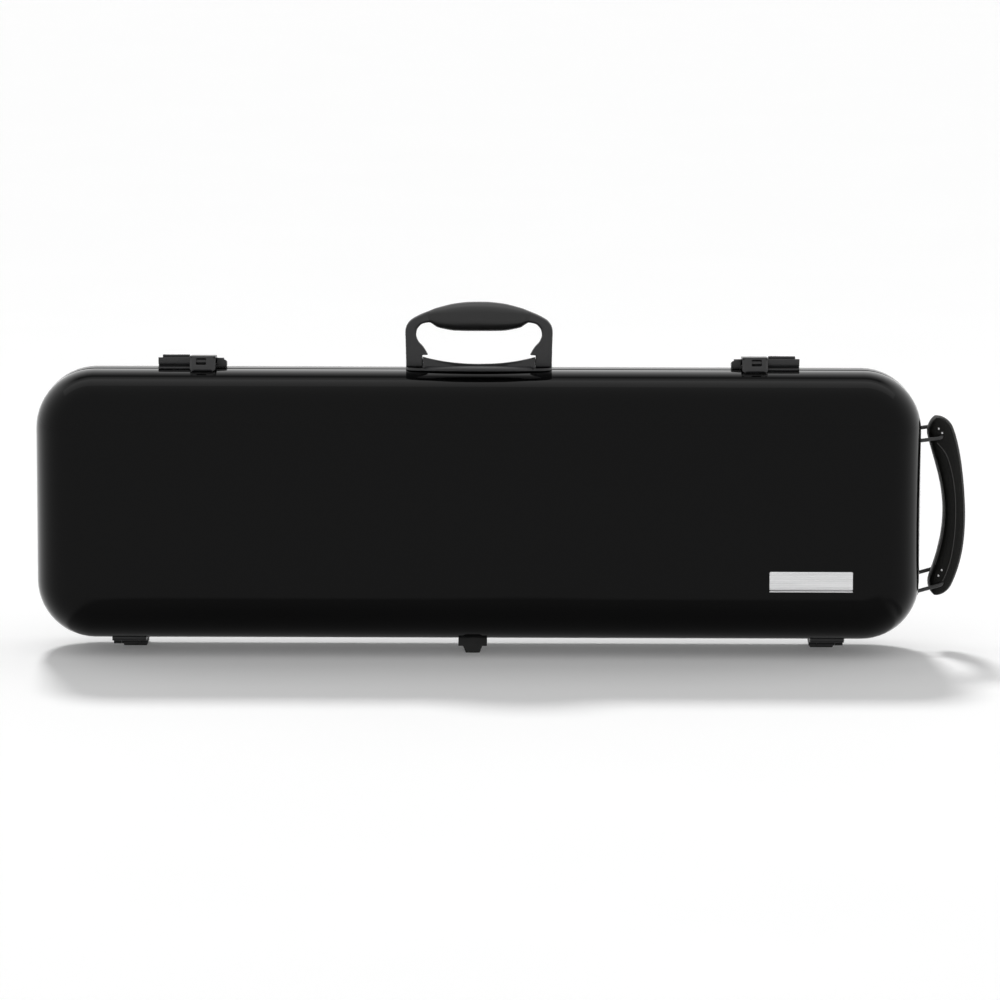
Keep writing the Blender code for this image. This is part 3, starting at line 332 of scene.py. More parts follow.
hide, start, end = new_group("hide_grain", ("Height", "Crease", "Cloud"), Scale=850.0)
bend = node(hide, "TexNoise", {"Vector": start["Vector"], "Scale": 300.0, "Detail": 2.0})
bend = node(hide, "VectorMath", {0: bend.outputs["Color"], 3: 0.0022}, operation="SCALE")
bent = node(hide, "VectorMath", {0: start["Vector"], 1: bend.outputs[0]}, operation="ADD")
pore = node(hide, "TexVoronoi", {"Vector": bent.outputs[0], "Scale": start["Scale"]},
            feature="DISTANCE_TO_EDGE").outputs["Distance"]
cloud = noise(hide, start["Vector"], 45.0, 5.0)
hide.links.new(between(hide, pore, 0, 1, 0.0, 0.3), end["Height"])
hide.links.new(between(hide, pore, 1, 0, 0.0, 0.12), end["Crease"])
hide.links.new(between(hide, cloud, 0, 1, 0.3, 0.7), end["Cloud"])

pile, start, end = new_group("pile_nap", ("Height", "Painted_Nap_Shading"), Scale=2200.0)
# The pile's second output is painted nap shading: broad brushed strokes, lighter and darker, that stand
# in for light on the lying pile.
painted_nap_stroke = noise(pile, start["Vector"], 16.0, 4.0, Distortion=0.8)
nap = maths(pile, "ADD", painted_nap_stroke, noise(pile, start["Vector"], 240.0, 3.0))
pile.links.new(noise(pile, start["Vector"], start["Scale"], 3.0), end["Height"])
pile.links.new(between(pile, nap, 0, 1, 0.7, 1.3), end["Painted_Nap_Shading"])

weave, start, end = new_group("tape_weave", ("Height",), Scale=300.0)
wave = {"Vector": start["Vector"], "Scale": start["Scale"]}
threads = [node(weave, "TexWave", wave, bands_direction=way).outputs["Fac"] for way in "XZ"]
weave.links.new(maths(weave, "MULTIPLY", *threads), end["Height"])

brush, start, end = new_group("brushed_lines", ("Height", "Streak"), Scale=1.0)
stretch = node(brush, "Mapping", {"Vector": start["Vector"], "Scale": (9.0, 1.0, 2600.0)})
line = noise(brush, stretch.outputs[0], start["Scale"], 3.0)
brush.links.new(line, end["Height"])
brush.links.new(between(brush, line, 0, 1, 0.3, 0.7), end["Streak"])
print("effects:", [group.name for group in bpy.data.node_groups])

# %% [markdown]
# ## The lacquered shells
# The real halves are pressed shells sprayed with a deep black gloss.  A CAD facet would break the
# long reflections, so both halves are rebuilt as a stack of rounded oblong rings: up the side, over
# an edge that is a quarter of an ellipse, and in to the middle line of the face, then back along the
# inside.  The edge starts early and turns slowly, which is what stretches the highlights beside the
# seam, and the lid's runs out more slowly still.  The lid's face is crowned by a hair, as a pressed
# sheet is.

# %% Oblong rings
def quarter(count):
    """Angles of a quarter turn, both ends included."""
    return np.linspace(0, np.pi / 2, count)


def oblong_unit(along=28, up=9, steps=15):
    """Corner signs and turns round an oblong, from the middle of its right side and back again; here and
    below np.r_ strings numbers and arrays into one row."""
    turn = quarter(steps)
    rise = (np.arange(up) + 0.5) / up
    run = np.linspace(1, -1, along + 2)[1:-1]
    across = np.r_[np.ones(up + steps), run, -np.ones(steps + up)]
    height = np.r_[rise, np.ones(2 * steps + along), rise[::-1]]
    angle = np.r_[np.zeros(up), turn, np.full(along, np.pi / 2), turn + np.pi / 2, np.full(up, np.pi)]
    flip = np.r_[np.ones(len(angle)), -np.ones(len(angle))]
    across, height, angle = (np.r_[a, a[::-1]] for a in (across, height, angle))
    return across, height * flip, np.cos(angle), np.sin(angle) * flip


def oblong_rings(centre, half, inset, depth, corner, **counts):
    """x = centre + sign * (half - inset - corner) + corner * cos, the same up z with sin, y = depth."""
    across, height, cosine, sine = oblong_unit(**counts)
    inset, depth, corner = (np.asarray(a, float)[:, None] for a in (inset, depth, corner))
    x = centre[0] + across * (half[0] - inset - corner) + corner * cosine
    z = centre[1] + height * (half[1] - inset - corner) + corner * sine
    return side_by_side(x, depth, z)


def folded_skin(rings, first=True):
    """A skin whose last ring, and first if wanted, is thin and closed by quads straight across it."""
    rows, columns = rings.shape[:2]
    pair = np.arange(columns // 2 - 1)
    fold = side_by_side(pair, pair + 1, columns - 2 - pair, columns - 1 - pair)
    folds = ([fold] if first else []) + [fold + (rows - 1) * columns]
    return rings.reshape(-1, 3), [grid_faces(rows, columns)] + folds

# %% Shell profile
case_corner = 53.0
shell_wall = 2.5
shell_start = 4.6
tuck_reach = 12
fit = 0.3
ease, eased_from = 0.00735, 15
case_half = (half_length, half_height)
case_middle = (0.0, middle_z)


def half_profile(depth, edge, reach, offset, start, least=0.0, slow=2.0, wall_rows=6):
    """Inset, depth and corner radius from the lip up the side, over an edge that is a quarter ellipse
    (edge across, reach deep, both less the offset), and in over the face.  A slow of more than 2 lets
    the edge run out more gently into the face.  The corner is what the inset leaves, plus an ease."""
    turn = quarter(33)
    wall = np.linspace(start, max(depth - reach, start + 1), wall_rows)[:-1]
    face = np.linspace(edge, half_height - 0.6, 15)[1:]
    inset = np.r_[np.full(len(wall), offset), offset + (edge - offset) * (1 - np.cos(turn)), face]
    rise = depth - reach + (reach - offset) * np.sqrt(1 - np.cos(turn) ** slow)
    height = np.r_[wall, rise, np.full(len(face), depth - offset)]
    inset = np.maximum(inset, least)
    corner = case_corner - inset + ease * np.clip(inset - eased_from, 0, edge - eased_from) ** 2
    edge_corner = case_corner - edge + ease * (edge - eased_from) ** 2
    shrink = edge_corner * (half_height - inset) / (half_height - edge)
    return inset, height, np.where(inset <= edge, corner, shrink)


def face_crown(points, edge):
    """A bulge over the flat of a face: the square of (1 - u^2) times the square of (1 - v^2)."""
    u = np.clip(points[..., 0] / (half_length - edge), -1, 1)
    v = np.clip((points[..., 2] - middle_z) / (half_height - edge), -1, 1)
    return (1 - u**2) ** 2 * (1 - v**2) ** 2


def half_shell(depth, edge, reach, slow, side, crown, tuck):
    """Outside and inside rings of one half, joined at the lip and folded shut at both middle lines; the
    outside draws in by the tuck times the square of what is left of the tuck's reach to the lip."""
    outer = half_profile(depth, edge, reach, 0, shell_start, slow=slow, wall_rows=9)
    near = np.clip(1 - (outer[1] - shell_start) / tuck_reach, 0, 1) ** 2
    outer = outer[0] + tuck * near, outer[1], outer[2] - tuck * near
    inner = half_profile(depth, edge, reach, shell_wall, shell_start, slow=slow)
    inset, height, corner = (np.r_[a[::-1], b] for a, b in zip(outer, inner))
    rings = oblong_rings(case_middle, case_half, inset, side * height, corner)
    rings[..., 1] += side * crown * face_crown(rings, edge)
    return folded_skin(rings)

# %% Gloss finish and shells
gloss, tree, shader, place = new_finish("black_lacquer", Specular_IOR_Level=0.113)
peel = use_group(tree, grain, place, Scale=240.0)
specks = use_group(tree, dust, place, Scale=380.0, Amount=0.25)["Mask"]
rough = maths(tree, "MULTIPLY_ADD", specks, 0.3, between(tree, peel["Cloud"], 0.028, 0.05))
flecked = tint(tree, specks, (0.0007, 0.0007, 0.0008), (0.02, 0.0195, 0.019))
feed(shader, Base_Color=flecked, Roughness=rough)
bumped(tree, shader, peel["Height"], 0.000012)

lid_edge, lid_reach, lid_slow = 50.0, 52.0, 2.8
base_edge, base_reach = 44.0, 54.0
lid = half_shell(lid_depth, lid_edge, lid_reach, lid_slow, -1, 1.2, 0.0)
add_piece("lid_gloss_shell", lid, gloss, "lid", ["lid_shell"])
base = half_shell(base_depth, base_edge, base_reach, 2.0, 1, 0, 0.35)
add_piece("base_gloss_shell", base, gloss, "base", ["base_shell"])

# %% [markdown]
# ## Rims and seal along the seam
# A moulded frame closes each half's edge: a lip that shows as a thin line round the case, and a
# flange that hides inside the wall.  A profile with softened corners carried round the case makes
# both.  The softening is what catches the fine light line along the seam.

# %% Softened outlines
def rounded(outline, radius, steps=4):
    """Each corner becomes a quadratic curve between points a radius before and after it."""
    corner = np.asarray(outline, float)
    before, after = np.roll(corner, 1, 0) - corner, np.roll(corner, -1, 0) - corner
    sizes = np.hypot(*before.T), np.hypot(*after.T)
    reach = [np.minimum(radius, 0.45 * size) / size for size in sizes]
    first = corner + before * reach[0][:, None]
    last = corner + after * reach[1][:, None]
    t = np.linspace(0, 1, steps)[None, :, None]
    curve = (1 - t) ** 2 * first[:, None] + 2 * t * (1 - t) * corner[:, None] + t**2 * last[:, None]
    return curve.reshape(-1, 2)


def rim_loop(outline, side, radius):
    """A profile of (inset, depth) carried round the case and closed on itself."""
    inset, depth = rounded(outline, radius).T
    rings = oblong_rings(case_middle, case_half, inset, side * depth, case_corner - inset)
    return skin(rings, loop=True)

# %% Satin finish, rims and seal
def satin_finish(name, colour, lighter, low, high, scale=1500.0, depth=0.00004, **sockets):
    """Moulded black: a fine grain in the surface, cloudy gloss, and a little dust in the grain."""
    finish, tree, shader, place = new_finish(name, **sockets)
    tooth = use_group(tree, grain, place, Scale=scale)
    specks = use_group(tree, dust, place, Scale=520.0, Amount=0.35)["Mask"]
    share = maths(tree, "MULTIPLY_ADD", tooth["Cloud"], 0.7, specks)
    rough = between(tree, tooth["Cloud"], low, high)
    feed(shader, Base_Color=tint(tree, share, colour, lighter), Roughness=rough)
    bumped(tree, shader, tooth["Height"], depth)
    return finish


satin = satin_finish("moulded_satin_black", (0.008, 0.008, 0.009), (0.016, 0.016, 0.017), 0.3, 0.42)
rubber = satin_finish("foot_rubber", (0.012, 0.012, 0.012), (0.03, 0.03, 0.029), 0.62, 0.8,
                      900.0, 0.00008)
rim_outline = [(1.7, 0.3), (9, 0.3), (9, 3.3), (5, 3.3), (5, 12), (2.8, 12), (2.8, 4.3), (1.7, 4.3)]
groove = [(2.9, 0.3), (2.9, 2.3), (6.1, 2.3), (6.1, 0.3)]
add_piece("lid_edge_rim", rim_loop(rim_outline, -1, 0.7), satin, "lid", ["lid_rim"])
base_outline = rim_outline[:1] + groove + rim_outline[1:]
add_piece("base_edge_rim", rim_loop(base_outline, 1, 0.7), satin, "base", ["base_rim"])
seal_outline = [(3.2, 0.25), (4.5, 0.0), (5.8, 0.25), (5.8, 2.0), (3.2, 2.0)]
add_piece("seam_seal", rim_loop(seal_outline, 1, 0.7), rubber, "base", ["rim_seal"])

# %% [markdown]
# ## The carrying handle
# The handle is a moulded arch with a fat soft grip.  Seen from the front, each post has a hooked
# foot, thins to a waist beside a round lobe, and sweeps up into the grip.  A section is carried
# along the arch: at each station an outer and an inner point are given, and a super-ellipse spans
# them, nearly square on the posts and nearly round on the grip.

# %% Curves and sections
def smooth_curve(knots, count):
    """A Catmull-Rom curve through the rows of a table, at even steps of its parameter."""
    knots = np.asarray(knots, float)
    padded = np.r_[2 * knots[:1] - knots[1:2], knots, 2 * knots[-1:] - knots[-2:-1]]
    place = np.linspace(0, len(knots) - 1, count)
    index = np.minimum(place.astype(int), len(knots) - 2)
    t = (place - index)[:, None]
    a, b, c, d = (padded[index + step] for step in range(4))
    square, cube = 2 * a - 5 * b + 4 * c - d, 3 * b - a - 3 * c + d
    return 0.5 * (2 * b + (c - a) * t + square * t**2 + cube * t**3)


def full_turn(sides):
    """Angles of a full turn, the last one left out."""
    return np.linspace(0, 2 * np.pi, sides, endpoint=False)


def power(value, exponent):
    """A power that keeps the sign: the building block of a super-ellipse."""
    return np.sign(value) * np.abs(value) ** exponent


def arch_rings(stations, sides=36):
    """Point = middle + half span * cos^(2/p), y = half depth * sin^(2/p), for each station's outer,
    inner, half depth and p."""
    angle = full_turn(sides)[None, :]
    outer, inner = stations[:, None, 0:2], stations[:, None, 2:4]
    depth, p = stations[:, 4:5], stations[:, 5:6]
    across = power(np.cos(angle), 2 / p)[..., None]
    plane = (outer + inner) / 2 + (outer - inner) / 2 * across
    y = depth * power(np.sin(angle), 2 / p) + handle_y
    return side_by_side(plane[..., 0], y, top_z + plane[..., 1])

# %% Arch and grip
handle_y = 2.0
foot = [0.5, 0.6, 1.0, 1.6, 2.2, 3.0, 4.6, 6.4]
post = [(66, z, 50.9, z, min(5, (7.2**2 - (7.6 - z) ** 2) ** 0.5), 6) for z in foot]
post += [(66, 8.5, 50.9, 8.5, 5, 6), (66.1, 12.6, 50.9, 12.6, 5, 6), (66.1, 13.0, 46.6, 13.0, 5, 6)]
post += [(66.2, 14.4, 46.9, 14.4, 5, 6), (66.2, 17.6, 48.7, 17.6, 5, 6), (66.3, 20.8, 50.9, 20.8, 5, 6)]
post += [(66.4, 24, 54.0, 24, 5, 6), (66.5, 28, 56.1, 28, 5.1, 5.5), (66.7, 32, 56.7, 31.4, 5.2, 5)]
shoulder = [(66.4, 36.4, 55.8, 36, 5.5, 4.6), (65.0, 40.4, 54.2, 38.4, 5.9, 4.2)]
shoulder += [(61.8, 44.3, 51.9, 40.6, 6.3, 3.8), (56.0, 47.9, 48.6, 41.8, 6.6, 3.5)]
shoulder += [(49.0, 51.1, 44.7, 42.2, 6.8, 3.2), (42.4, 53.5, 40, 42.2, 6.8, 3)]
shoulder += [(34, 55.6, 34, 42.4, 6.5, 2.6)]
arch_half = smooth_curve(post + shoulder, 110)
mirror = np.array([-1, 1, -1, 1, 1, 1])
arch = skin(np.r_[arch_rings(arch_half), arch_rings(arch_half[::-1] * mirror)])
add_piece("handle_arch", arch, satin, "handle", ["handle_frame"])

swell = [(51.5, 49.2, 47.0, 43.2, 5.6, 3.0), (48.2, 51.2, 44.6, 42.2, 6.7, 2.9)]
swell += [(45, 52.7, 42.4, 41.0, 7.3, 2.7), (41.5, 54.2, 39.6, 39.0, 8.2, 2.5)]
swell += [(38.4, 55.3, 36.9, 37.6, 9.1, 2.4), (32, 57.1, 31, 36.2, 10.9, 2.3)]
swell += [(23, 59.2, 22.5, 34.8, 12.9, 2.2), (11, 60.7, 11, 34.5, 13.9, 2.2)]
swell += [(0, 61.0, 0, 34.5, 14, 2.2)]
grip_half = smooth_curve(swell, 54)
grip_rings = np.r_[arch_rings(grip_half, 48), arch_rings(grip_half[-2::-1] * mirror, 48)]
soft_grip, tree, shader, place = new_finish("soft_touch_grip", Specular_IOR_Level=0.44)
tooth = use_group(tree, grain, place, Scale=1100.0)
facing = node(tree, "SeparateXYZ", {0: node(tree, "TexCoord").outputs["Normal"]}).outputs["Z"]
# The grip's colour goes lighter on faces that turn upwards: a painted highlight of the light from above.
painted_top_highlight = tint(tree, between(tree, facing, 0, 1, 0.35, 0.95), (0.009, 0.009, 0.009), (0.05, 0.05, 0.05))
feed(shader, Base_Color=painted_top_highlight, Roughness=between(tree, tooth["Cloud"], 0.32, 0.42))
bumped(tree, shader, tooth["Height"], 0.00004)
add_piece("handle_soft_grip", skin(grip_rings), soft_grip, "handle", ["handle_grip"])

# %% [markdown]
# ## The saddle under the handle
# Between the posts a low saddle rises at both ends to hold the pins and dips in the middle, on a
# flange that spreads the load over the base's edge.  The flange is an oblong with a soft edge, laid
# flat by exchanging y and z; the saddle is a row of arched sections.  In front of it a thin bowed lip
# reaches over the seam, under the posts.

# %% Saddle
def flat_oblong(centre, half, corner, low, high, soft, **counts):
    """An oblong slab lying flat: rings in x and y, with a rounded upper edge of radius soft."""
    turn = quarter(6)
    inset = np.r_[0, 0, soft * (1 - np.cos(turn[1:]))]
    height = np.r_[low, high - soft, high - soft + soft * np.sin(turn[1:])]
    rings = oblong_rings(centre, half, inset, height, np.maximum(corner - inset, 0.2), **counts)
    return skin(rings[..., [0, 2, 1]])


share = np.linspace(-1, 1, 61)
saddle_half, saddle_dip, saddle_end = 50.82, 4.6, 11.0
saddle_top = saddle_dip + (saddle_end - saddle_dip) * np.abs(share) ** 2.2
foot_y = np.array([-5.4, -5.4, -2.3, -1.6, 0.0, 1.6, 2.3, 5.4, 5.4])
drop = np.array([0.0, 0.0, 0.55, 0.15, 0.0, 0.15, 0.55, 0.0, 0.0])
low = np.array([0.5, 1.2, 0, 0, 0, 0, 0, 1.2, 0.5])
saddle_z = top_z + np.where(low > 0, low, saddle_top[:, None] - drop)
saddle = side_by_side(saddle_half * share[:, None], handle_y + foot_y, saddle_z)
flange = flat_oblong((0, handle_y), (50.6, 6), 2, top_z + fit, top_z + 1.6, 0.8)
mount = together(flange, skin(saddle))
add_piece("handle_saddle", mount, satin, "base", ["handle_mount"])

lip_half, lip_back, lip_low = 66, -3.8, 0.35
spread = np.sin(np.linspace(-np.pi / 2, np.pi / 2, 81))
blunt = np.sqrt(1 - 0.999 * np.abs(spread) ** 30)
front = lip_back - (11.7 + 5 * (1 - spread**2)) * blunt
under_post = np.clip((np.abs(lip_half * spread) - 47.5) / 3, 0, 1)
front_z, back_z = 1.3 + 1.3 * under_post, 2.9 - 2.0 * under_post
lip_y = side_by_side(front, front, front + 0.5 * blunt, lip_back, lip_back)
lip_z = side_by_side(lip_low, front_z - 0.4, front_z, back_z, lip_low)
lip_rings = side_by_side(lip_half * spread[:, None], lip_y, top_z + lip_z)
add_piece("handle_front_lip", skin(lip_rings), satin, "base", smooth=50)

# %% [markdown]
# ## Latches
# Each latch has a stepped body on the base, a hasp that swings over a keeper on the lid, and a
# slide on top that frees it.  They are small die-cast blocks, so each is an outline with softened
# corners carried straight along, finished with a Bevel modifier.  The hasp's front is a picture
# frame: rings that run from its outer edge to its window and back behind.

# %% Straight blocks
def block(outline, low, high, axis, radius=0.0, steps=4):
    """An outline with softened corners, carried straight along one axis between two limits."""
    outline = rounded(outline, radius, steps) if radius else np.asarray(outline, float)
    return skin(np.stack([np.insert(outline, axis, place, axis=1) for place in (low, high)]))


def framed(outer, window, profile):
    """Rings from an outer outline to a window: point = outer + share * (window - outer), y = depth."""
    share, depth = np.asarray(profile, float).T
    flat = outer[None] + share[:, None, None] * (window - outer)[None]
    return skin(np.insert(flat, 1, depth[:, None], axis=2), loop=True)


def oblong_outline(centre, half, corner, **counts):
    """One oblong ring as a flat outline of x and z."""
    return oblong_rings(centre, half, [0], [0], [corner], **counts)[0][:, [0, 2]]

# %% Latch shapes
latch_black = satin_finish("latch_enamel", (0.010, 0.010, 0.011), (0.02, 0.02, 0.021), 0.24, 0.34,
                           900.0, 0.00003)
body_outline = [(1, 3.4), (1, 9.1), (1.7, 9.8), (18, 7.3), (19, 6.4), (19, 0.3), (5, 0.3), (5, 3.4)]
body_block = block(body_outline, -30.7, -1.5, 0, 0.4)
ledge = [(-9, 0.35), (-9, 1.8), (-8.6, 2.2), (-1, 1.0), (6, 1.0), (6, 0.35)]
ledge = block(ledge, -30.2, -1.8, 0, 0.3)
sole = [(0.6, 0.3), (19, 0.3), (19, 5.6), (17.4, 5.6), (17.0, 2.8), (0.6, 2.8)]
sole = block(sole, -1.2, 22.6, 0, 0.4)
end_front, end_fall = 7.5, 0.17
end_outline = [(22.0, 0.3), (30.7, 0.3), (30.7, 6.2), (29.3, 7.1), (22.0, 8.9)]
end_points, end_blocks = block(end_outline, end_front, 19, 1, 0.6)
end_points[:, 2] -= end_fall * (end_points[:, 1] - end_front) * (end_points[:, 2] > 3)
housing = together(body_block, ledge, sole, (end_points, end_blocks))

bar = [(5.2, 9.35), (5.2, 11.3), (5.7, 11.9), (10.4, 11.0), (11, 10.4), (11, 8.5)]
stem = block([(-24, 6), (-8, 6), (-8, 9), (-24, 9)], 8.4, 10.4, 2, 0.5)
rib = [(6.4, 11.2), (6.4, 12.0), (10, 11.3), (10, 10.8)]
ribs = [block(rib, u, u + 0.9, 0, 0.3) for u in np.arange(-13, -4, 1.8)]
bolt = together(block(bar, -27.0, -2.6, 0, 0.2), stem, *ribs)

hasp_lean = 0.66
outer = oblong_outline((10.2, 6.0), (11.5, 6.4), 2.4, along=14, up=5, steps=7)
window = oblong_outline((8.7, 7.7), (4.4, 2.8), 0.8, along=14, up=5, steps=7)
front = [(0, -18.0), (0, -18.5), (0.1, -19.0), (0.28, -19.9), (0.34, -20.1)]
front += [(0.9, -20.1), (0.98, -19.9), (1, -19.4), (1, -18.8)]
plate_points, plate_blocks = framed(outer, window, front)
plate_points[:, 1] += hasp_lean * (plate_points[:, 2] + 0.4)
hasp_outline = [(-12.2, 10.9), (-12.2, 12.0), (-11.4, 12.5), (12.2, 10.9), (14.9, 8.6), (14.7, 5.4)]
hasp_outline += [(11, 3.2), (7.3, 5.4), (6.6, 9.0), (-4, 9.9), (-9.5, 10.6)]
hasp = together((plate_points, plate_blocks), block(hasp_outline, -1.3, 21.7, 0, 0.4))

keeper_outline = [(-15.4, -1.3), (-4, -0.4), (-4, 2.5), (-7.6, 2.5), (-7.6, 9.3), (-9.2, 10.1)]
keeper_outline += [(-11.0, 10.05), (-12.7, 6.9), (-12.3, 6.4), (-10.0, 6.2), (-10.0, 2.5), (-14.6, 2.0)]
keeper = block(keeper_outline, 1.7, 18.7, 0, 0.5)

# %% Latch pieces
latch_x = 259.3
ends_of_case = (("left", -1), ("right", 1))


def at_latch(shape, side):
    """A latch is drawn on the case's top with u running inwards; x = side * (latch_x - u)."""
    points, blocks = shape
    return points * [-side, 1, 1] + [side * latch_x, 0, top_z], blocks


for word, side in ends_of_case:
    parts = [
        ("body", housing, "base", "housing", 0.4, 35),
        ("bolt", bolt, f"slide_{word}", "slide", 0.2, 50),
        ("hook", hasp, f"hasp_{word}", "hasp", 0.25, 35),
        ("catch", keeper, "lid", "keeper", 0.3, 35),
    ]
    for name, shape, body, solid_name, bevel, smooth in parts:
        add_piece(f"latch_{word}_{name}", at_latch(shape, side), latch_black, body,
                  [f"latch_{word}_{solid_name}"], bevel, smooth)

# %% [markdown]
# ## Hinges and feet
# Two short hinges sit under the case with rubber pads below the base leaves, and a stud on the lid's
# edge makes the third foot.  Leaves and knuckles are straight blocks; the screw heads are small
# domes with a cross pressed into them, worked out on a round grid.

# %% Hinges
def ring_outline(centre, radius, sides=24):
    """A round outline."""
    angle = full_turn(sides)
    return side_by_side(centre[0] + radius * np.cos(angle), centre[1] + radius * np.sin(angle))


def screw_head(centre, radius, facing, axis=2):
    """A dome: height = 0.28 * radius * (1 - r^2), less a cross where the point is near either line."""
    reach = np.linspace(1, 0.03, 12)[:, None]
    angle = full_turn(40)[None, :]
    u, v = reach * np.cos(angle), reach * np.sin(angle)
    slot = np.minimum(np.abs(u), np.abs(v)) < 0.13
    height = radius * (0.28 * (1 - reach**2) + 0.1 - 0.3 * (slot & (reach < 0.66)))
    dome = side_by_side(u * radius, v * radius, height)
    rim = dome[:1] * [1, 1, 0] - [0, 0, 0.3 * radius]
    rings = np.r_[rim, dome] * [1, 1, facing]
    return skin(np.roll(rings, axis - 2, axis=-1) + np.asarray(centre, float))


hinge_x, hinge_z, seat_z = 316.5, 8.0, foot_z - fit
leaf_half, leaf_thick = 15.5, 2.3
screw_steel = satin_finish("screw_black_steel", (0.09, 0.09, 0.095), (0.16, 0.16, 0.165), 0.3, 0.4,
                           depth=0.00002, Metallic=1.0)
halves = (("base", 1, [(-leaf_half, -8.5), (8.5, leaf_half)]), ("lid", -1, [(-8.1, 8.1)]))
for word, side in ends_of_case:
    middle = side * hinge_x
    for half_name, facing, spans in halves:
        leaf_low = seat_z - leaf_thick
        plate = [(5.2, leaf_low), (5.2, seat_z), (21.3, seat_z + 1.6), (21.3, seat_z - 1.6),
                 (20, leaf_low)]
        leaf = block([(facing * y, z) for y, z in plate], middle - leaf_half, middle + leaf_half, 0, 0.5)
        arm = [(0.7, seat_z), (6, seat_z), (6, leaf_low), (3.2, leaf_low), (2.5, hinge_z),
               (0.7, hinge_z)]
        arm = [(facing * y, z) for y, z in arm]
        knuckles = []
        for low, high in spans:
            knuckles += [block(arm, middle + low, middle + high, 0)]
            knuckles += [block(ring_outline((0, hinge_z), 4), middle + low, middle + high, 0)]
        leaf = together(leaf, *knuckles)
        add_piece(f"hinge_{word}_{half_name}_plate", leaf, satin, half_name,
                  [f"hinge_{word}_{half_name}_leaf"], bevel=0.35)
    screws = [screw_head((middle + x, -14.5, seat_z - leaf_thick), 2.6, -1) for x in (-8.5, 8.5)]
    add_piece(f"hinge_{word}_screws", together(*screws), screw_steel, "lid")

# %% Feet
stud = [(-6.3, 0), (6.3, 0), (8.7, 6.2), (13, 6.2), (13, 14), (-13, 14), (-13, 6.2), (-8.7, 6.2)]
stud = [(x - 5, z) for x, z in stud]
foot_block = block(stud, -22, -8, 1, 0.6)
add_piece("front_rubber_foot", foot_block, rubber, "lid", ["front_foot"], bevel=0.7)
for word, side in ends_of_case:
    inner = hinge_x - leaf_half
    pad = rounded([(inner + 2, 0), (inner + 23, 0), (inner + 25, 9.6), (inner, 9.6)], 0.8) * [side, 1]
    rise = np.array([0, 0, 3.1, 4.0])[:, None] * np.clip(pad[:, 1] / 9.6, 0, 1) ** 6
    stations = np.array([14, 21.7, 22.2, 38])[:, None]
    rings = side_by_side(pad[:, 0], stations, pad[:, 1] + rise)
    add_piece(f"rear_rubber_pad_{word}", skin(rings), rubber, "base",
              [f"rear_foot_{word}"], bevel=0.8)

# %% [markdown]
# ## The strap handle on the end
# The end handle is a bowed roll of padded leather, wider at its ends, with piped seams down its sides,
# and hung on two bent wires.  A super-ellipse section follows the bow; the piping and the wires are
# tubes laid on it; small rivets hold the wires' ends.

# %% Leather, piping and wire
leather, tree, shader, place = new_finish("black_leather", Specular_IOR_Level=0.14)
skin_marks = use_group(tree, hide, place, Scale=700.0)
tone = tint(tree, skin_marks["Cloud"], (0.0045, 0.0045, 0.0038), (0.011, 0.011, 0.0095))
crease = {0: skin_marks["Crease"], 6: tone, 7: (0.002, 0.002, 0.002, 1)}
creased = node(tree, "Mix", crease, data_type="RGBA").outputs[2]
feed(shader, Base_Color=creased, Roughness=between(tree, skin_marks["Cloud"], 0.36, 0.5))
bumped(tree, shader, skin_marks["Height"], 0.0002)
piping = satin_finish("seam_piping", (0.03, 0.029, 0.028), (0.055, 0.053, 0.05), 0.4, 0.5,
                      700.0, 0.00006)
wire = satin_finish("black_wire_enamel", (0.012, 0.012, 0.012), (0.03, 0.03, 0.03), 0.22, 0.32,
                    600.0, 0.00002)

# %% Tubes along a path
def tube(path, radius, sides=16, up=(0, 0, 1)):
    """Rings square to the path: point = path + radius * (cos * side + sin * up)."""
    path = np.asarray(path, float)
    ahead = np.gradient(path, axis=0)
    ahead /= np.linalg.norm(ahead, axis=1, keepdims=True)
    aside = np.cross(ahead, up)
    aside /= np.linalg.norm(aside, axis=1, keepdims=True)
    over = np.cross(aside, ahead)
    angle = full_turn(sides)[None, :, None]
    radius = np.broadcast_to(radius, len(path))[:, None, None]
    spoke = np.cos(angle) * aside[:, None] + np.sin(angle) * over[:, None]
    return skin(path[:, None] + radius * spoke)


strap_y, strap_z, strap_reach, strap_half = 30.5, middle_z - 5.2, half_length + 44.2 - 10.0, 81.5
strap_bend, strap_pull = 17.6, 3.7


def strap_bow(share):
    """How far out the strap's middle lies: a parabola, and a cubic that pulls its upper half in."""
    return strap_reach - strap_bend * share**2 - strap_pull * share * (1 - share**2)


def strap_frame(share):
    """Middle and outward direction of the bowed strap for shares of -1 to 1, and the taper of its ends.
    The outward direction is square to the bow's slope."""
    share = np.asarray(share, float)
    middle = side_by_side(strap_bow(share), strap_y, strap_z + share * strap_half)
    slope = -2 * strap_bend * share - strap_pull * (1 - 3 * share**2)
    outward = side_by_side(strap_half, 0, -slope)
    outward /= np.linalg.norm(outward, axis=-1, keepdims=True)
    past = np.clip((np.abs(share) - 0.84) / 0.16, 0, 1)
    return middle, outward, np.sqrt(np.maximum(1 - past**2, 0.004))


def strap_point(share, out, aside):
    """A point on or in the strap: middle + out * taper * outward, with y moved aside."""
    middle, outward, taper = strap_frame(share)
    return middle + (out * taper)[..., None] * outward + side_by_side(0, aside, 0)

# %% Strap, piping and seams
def strap_width(share):
    """Half width of the strap: 10.2 mm in the middle, fuller to both ends, most at the upper one."""
    return 10.2 + share**2 * (7.07 - 7.05 * share**2) + 2.7 * share**3 * (1 - share**2)


def strap_depth(share):
    """Half depth of the strap: 11.8 mm, with slight puffs along it, less towards both ends."""
    return 11.8 * (1 - 0.02 * np.cos(share * 9) ** 2) * (0.82 + 0.18 * strap_frame(share)[2])


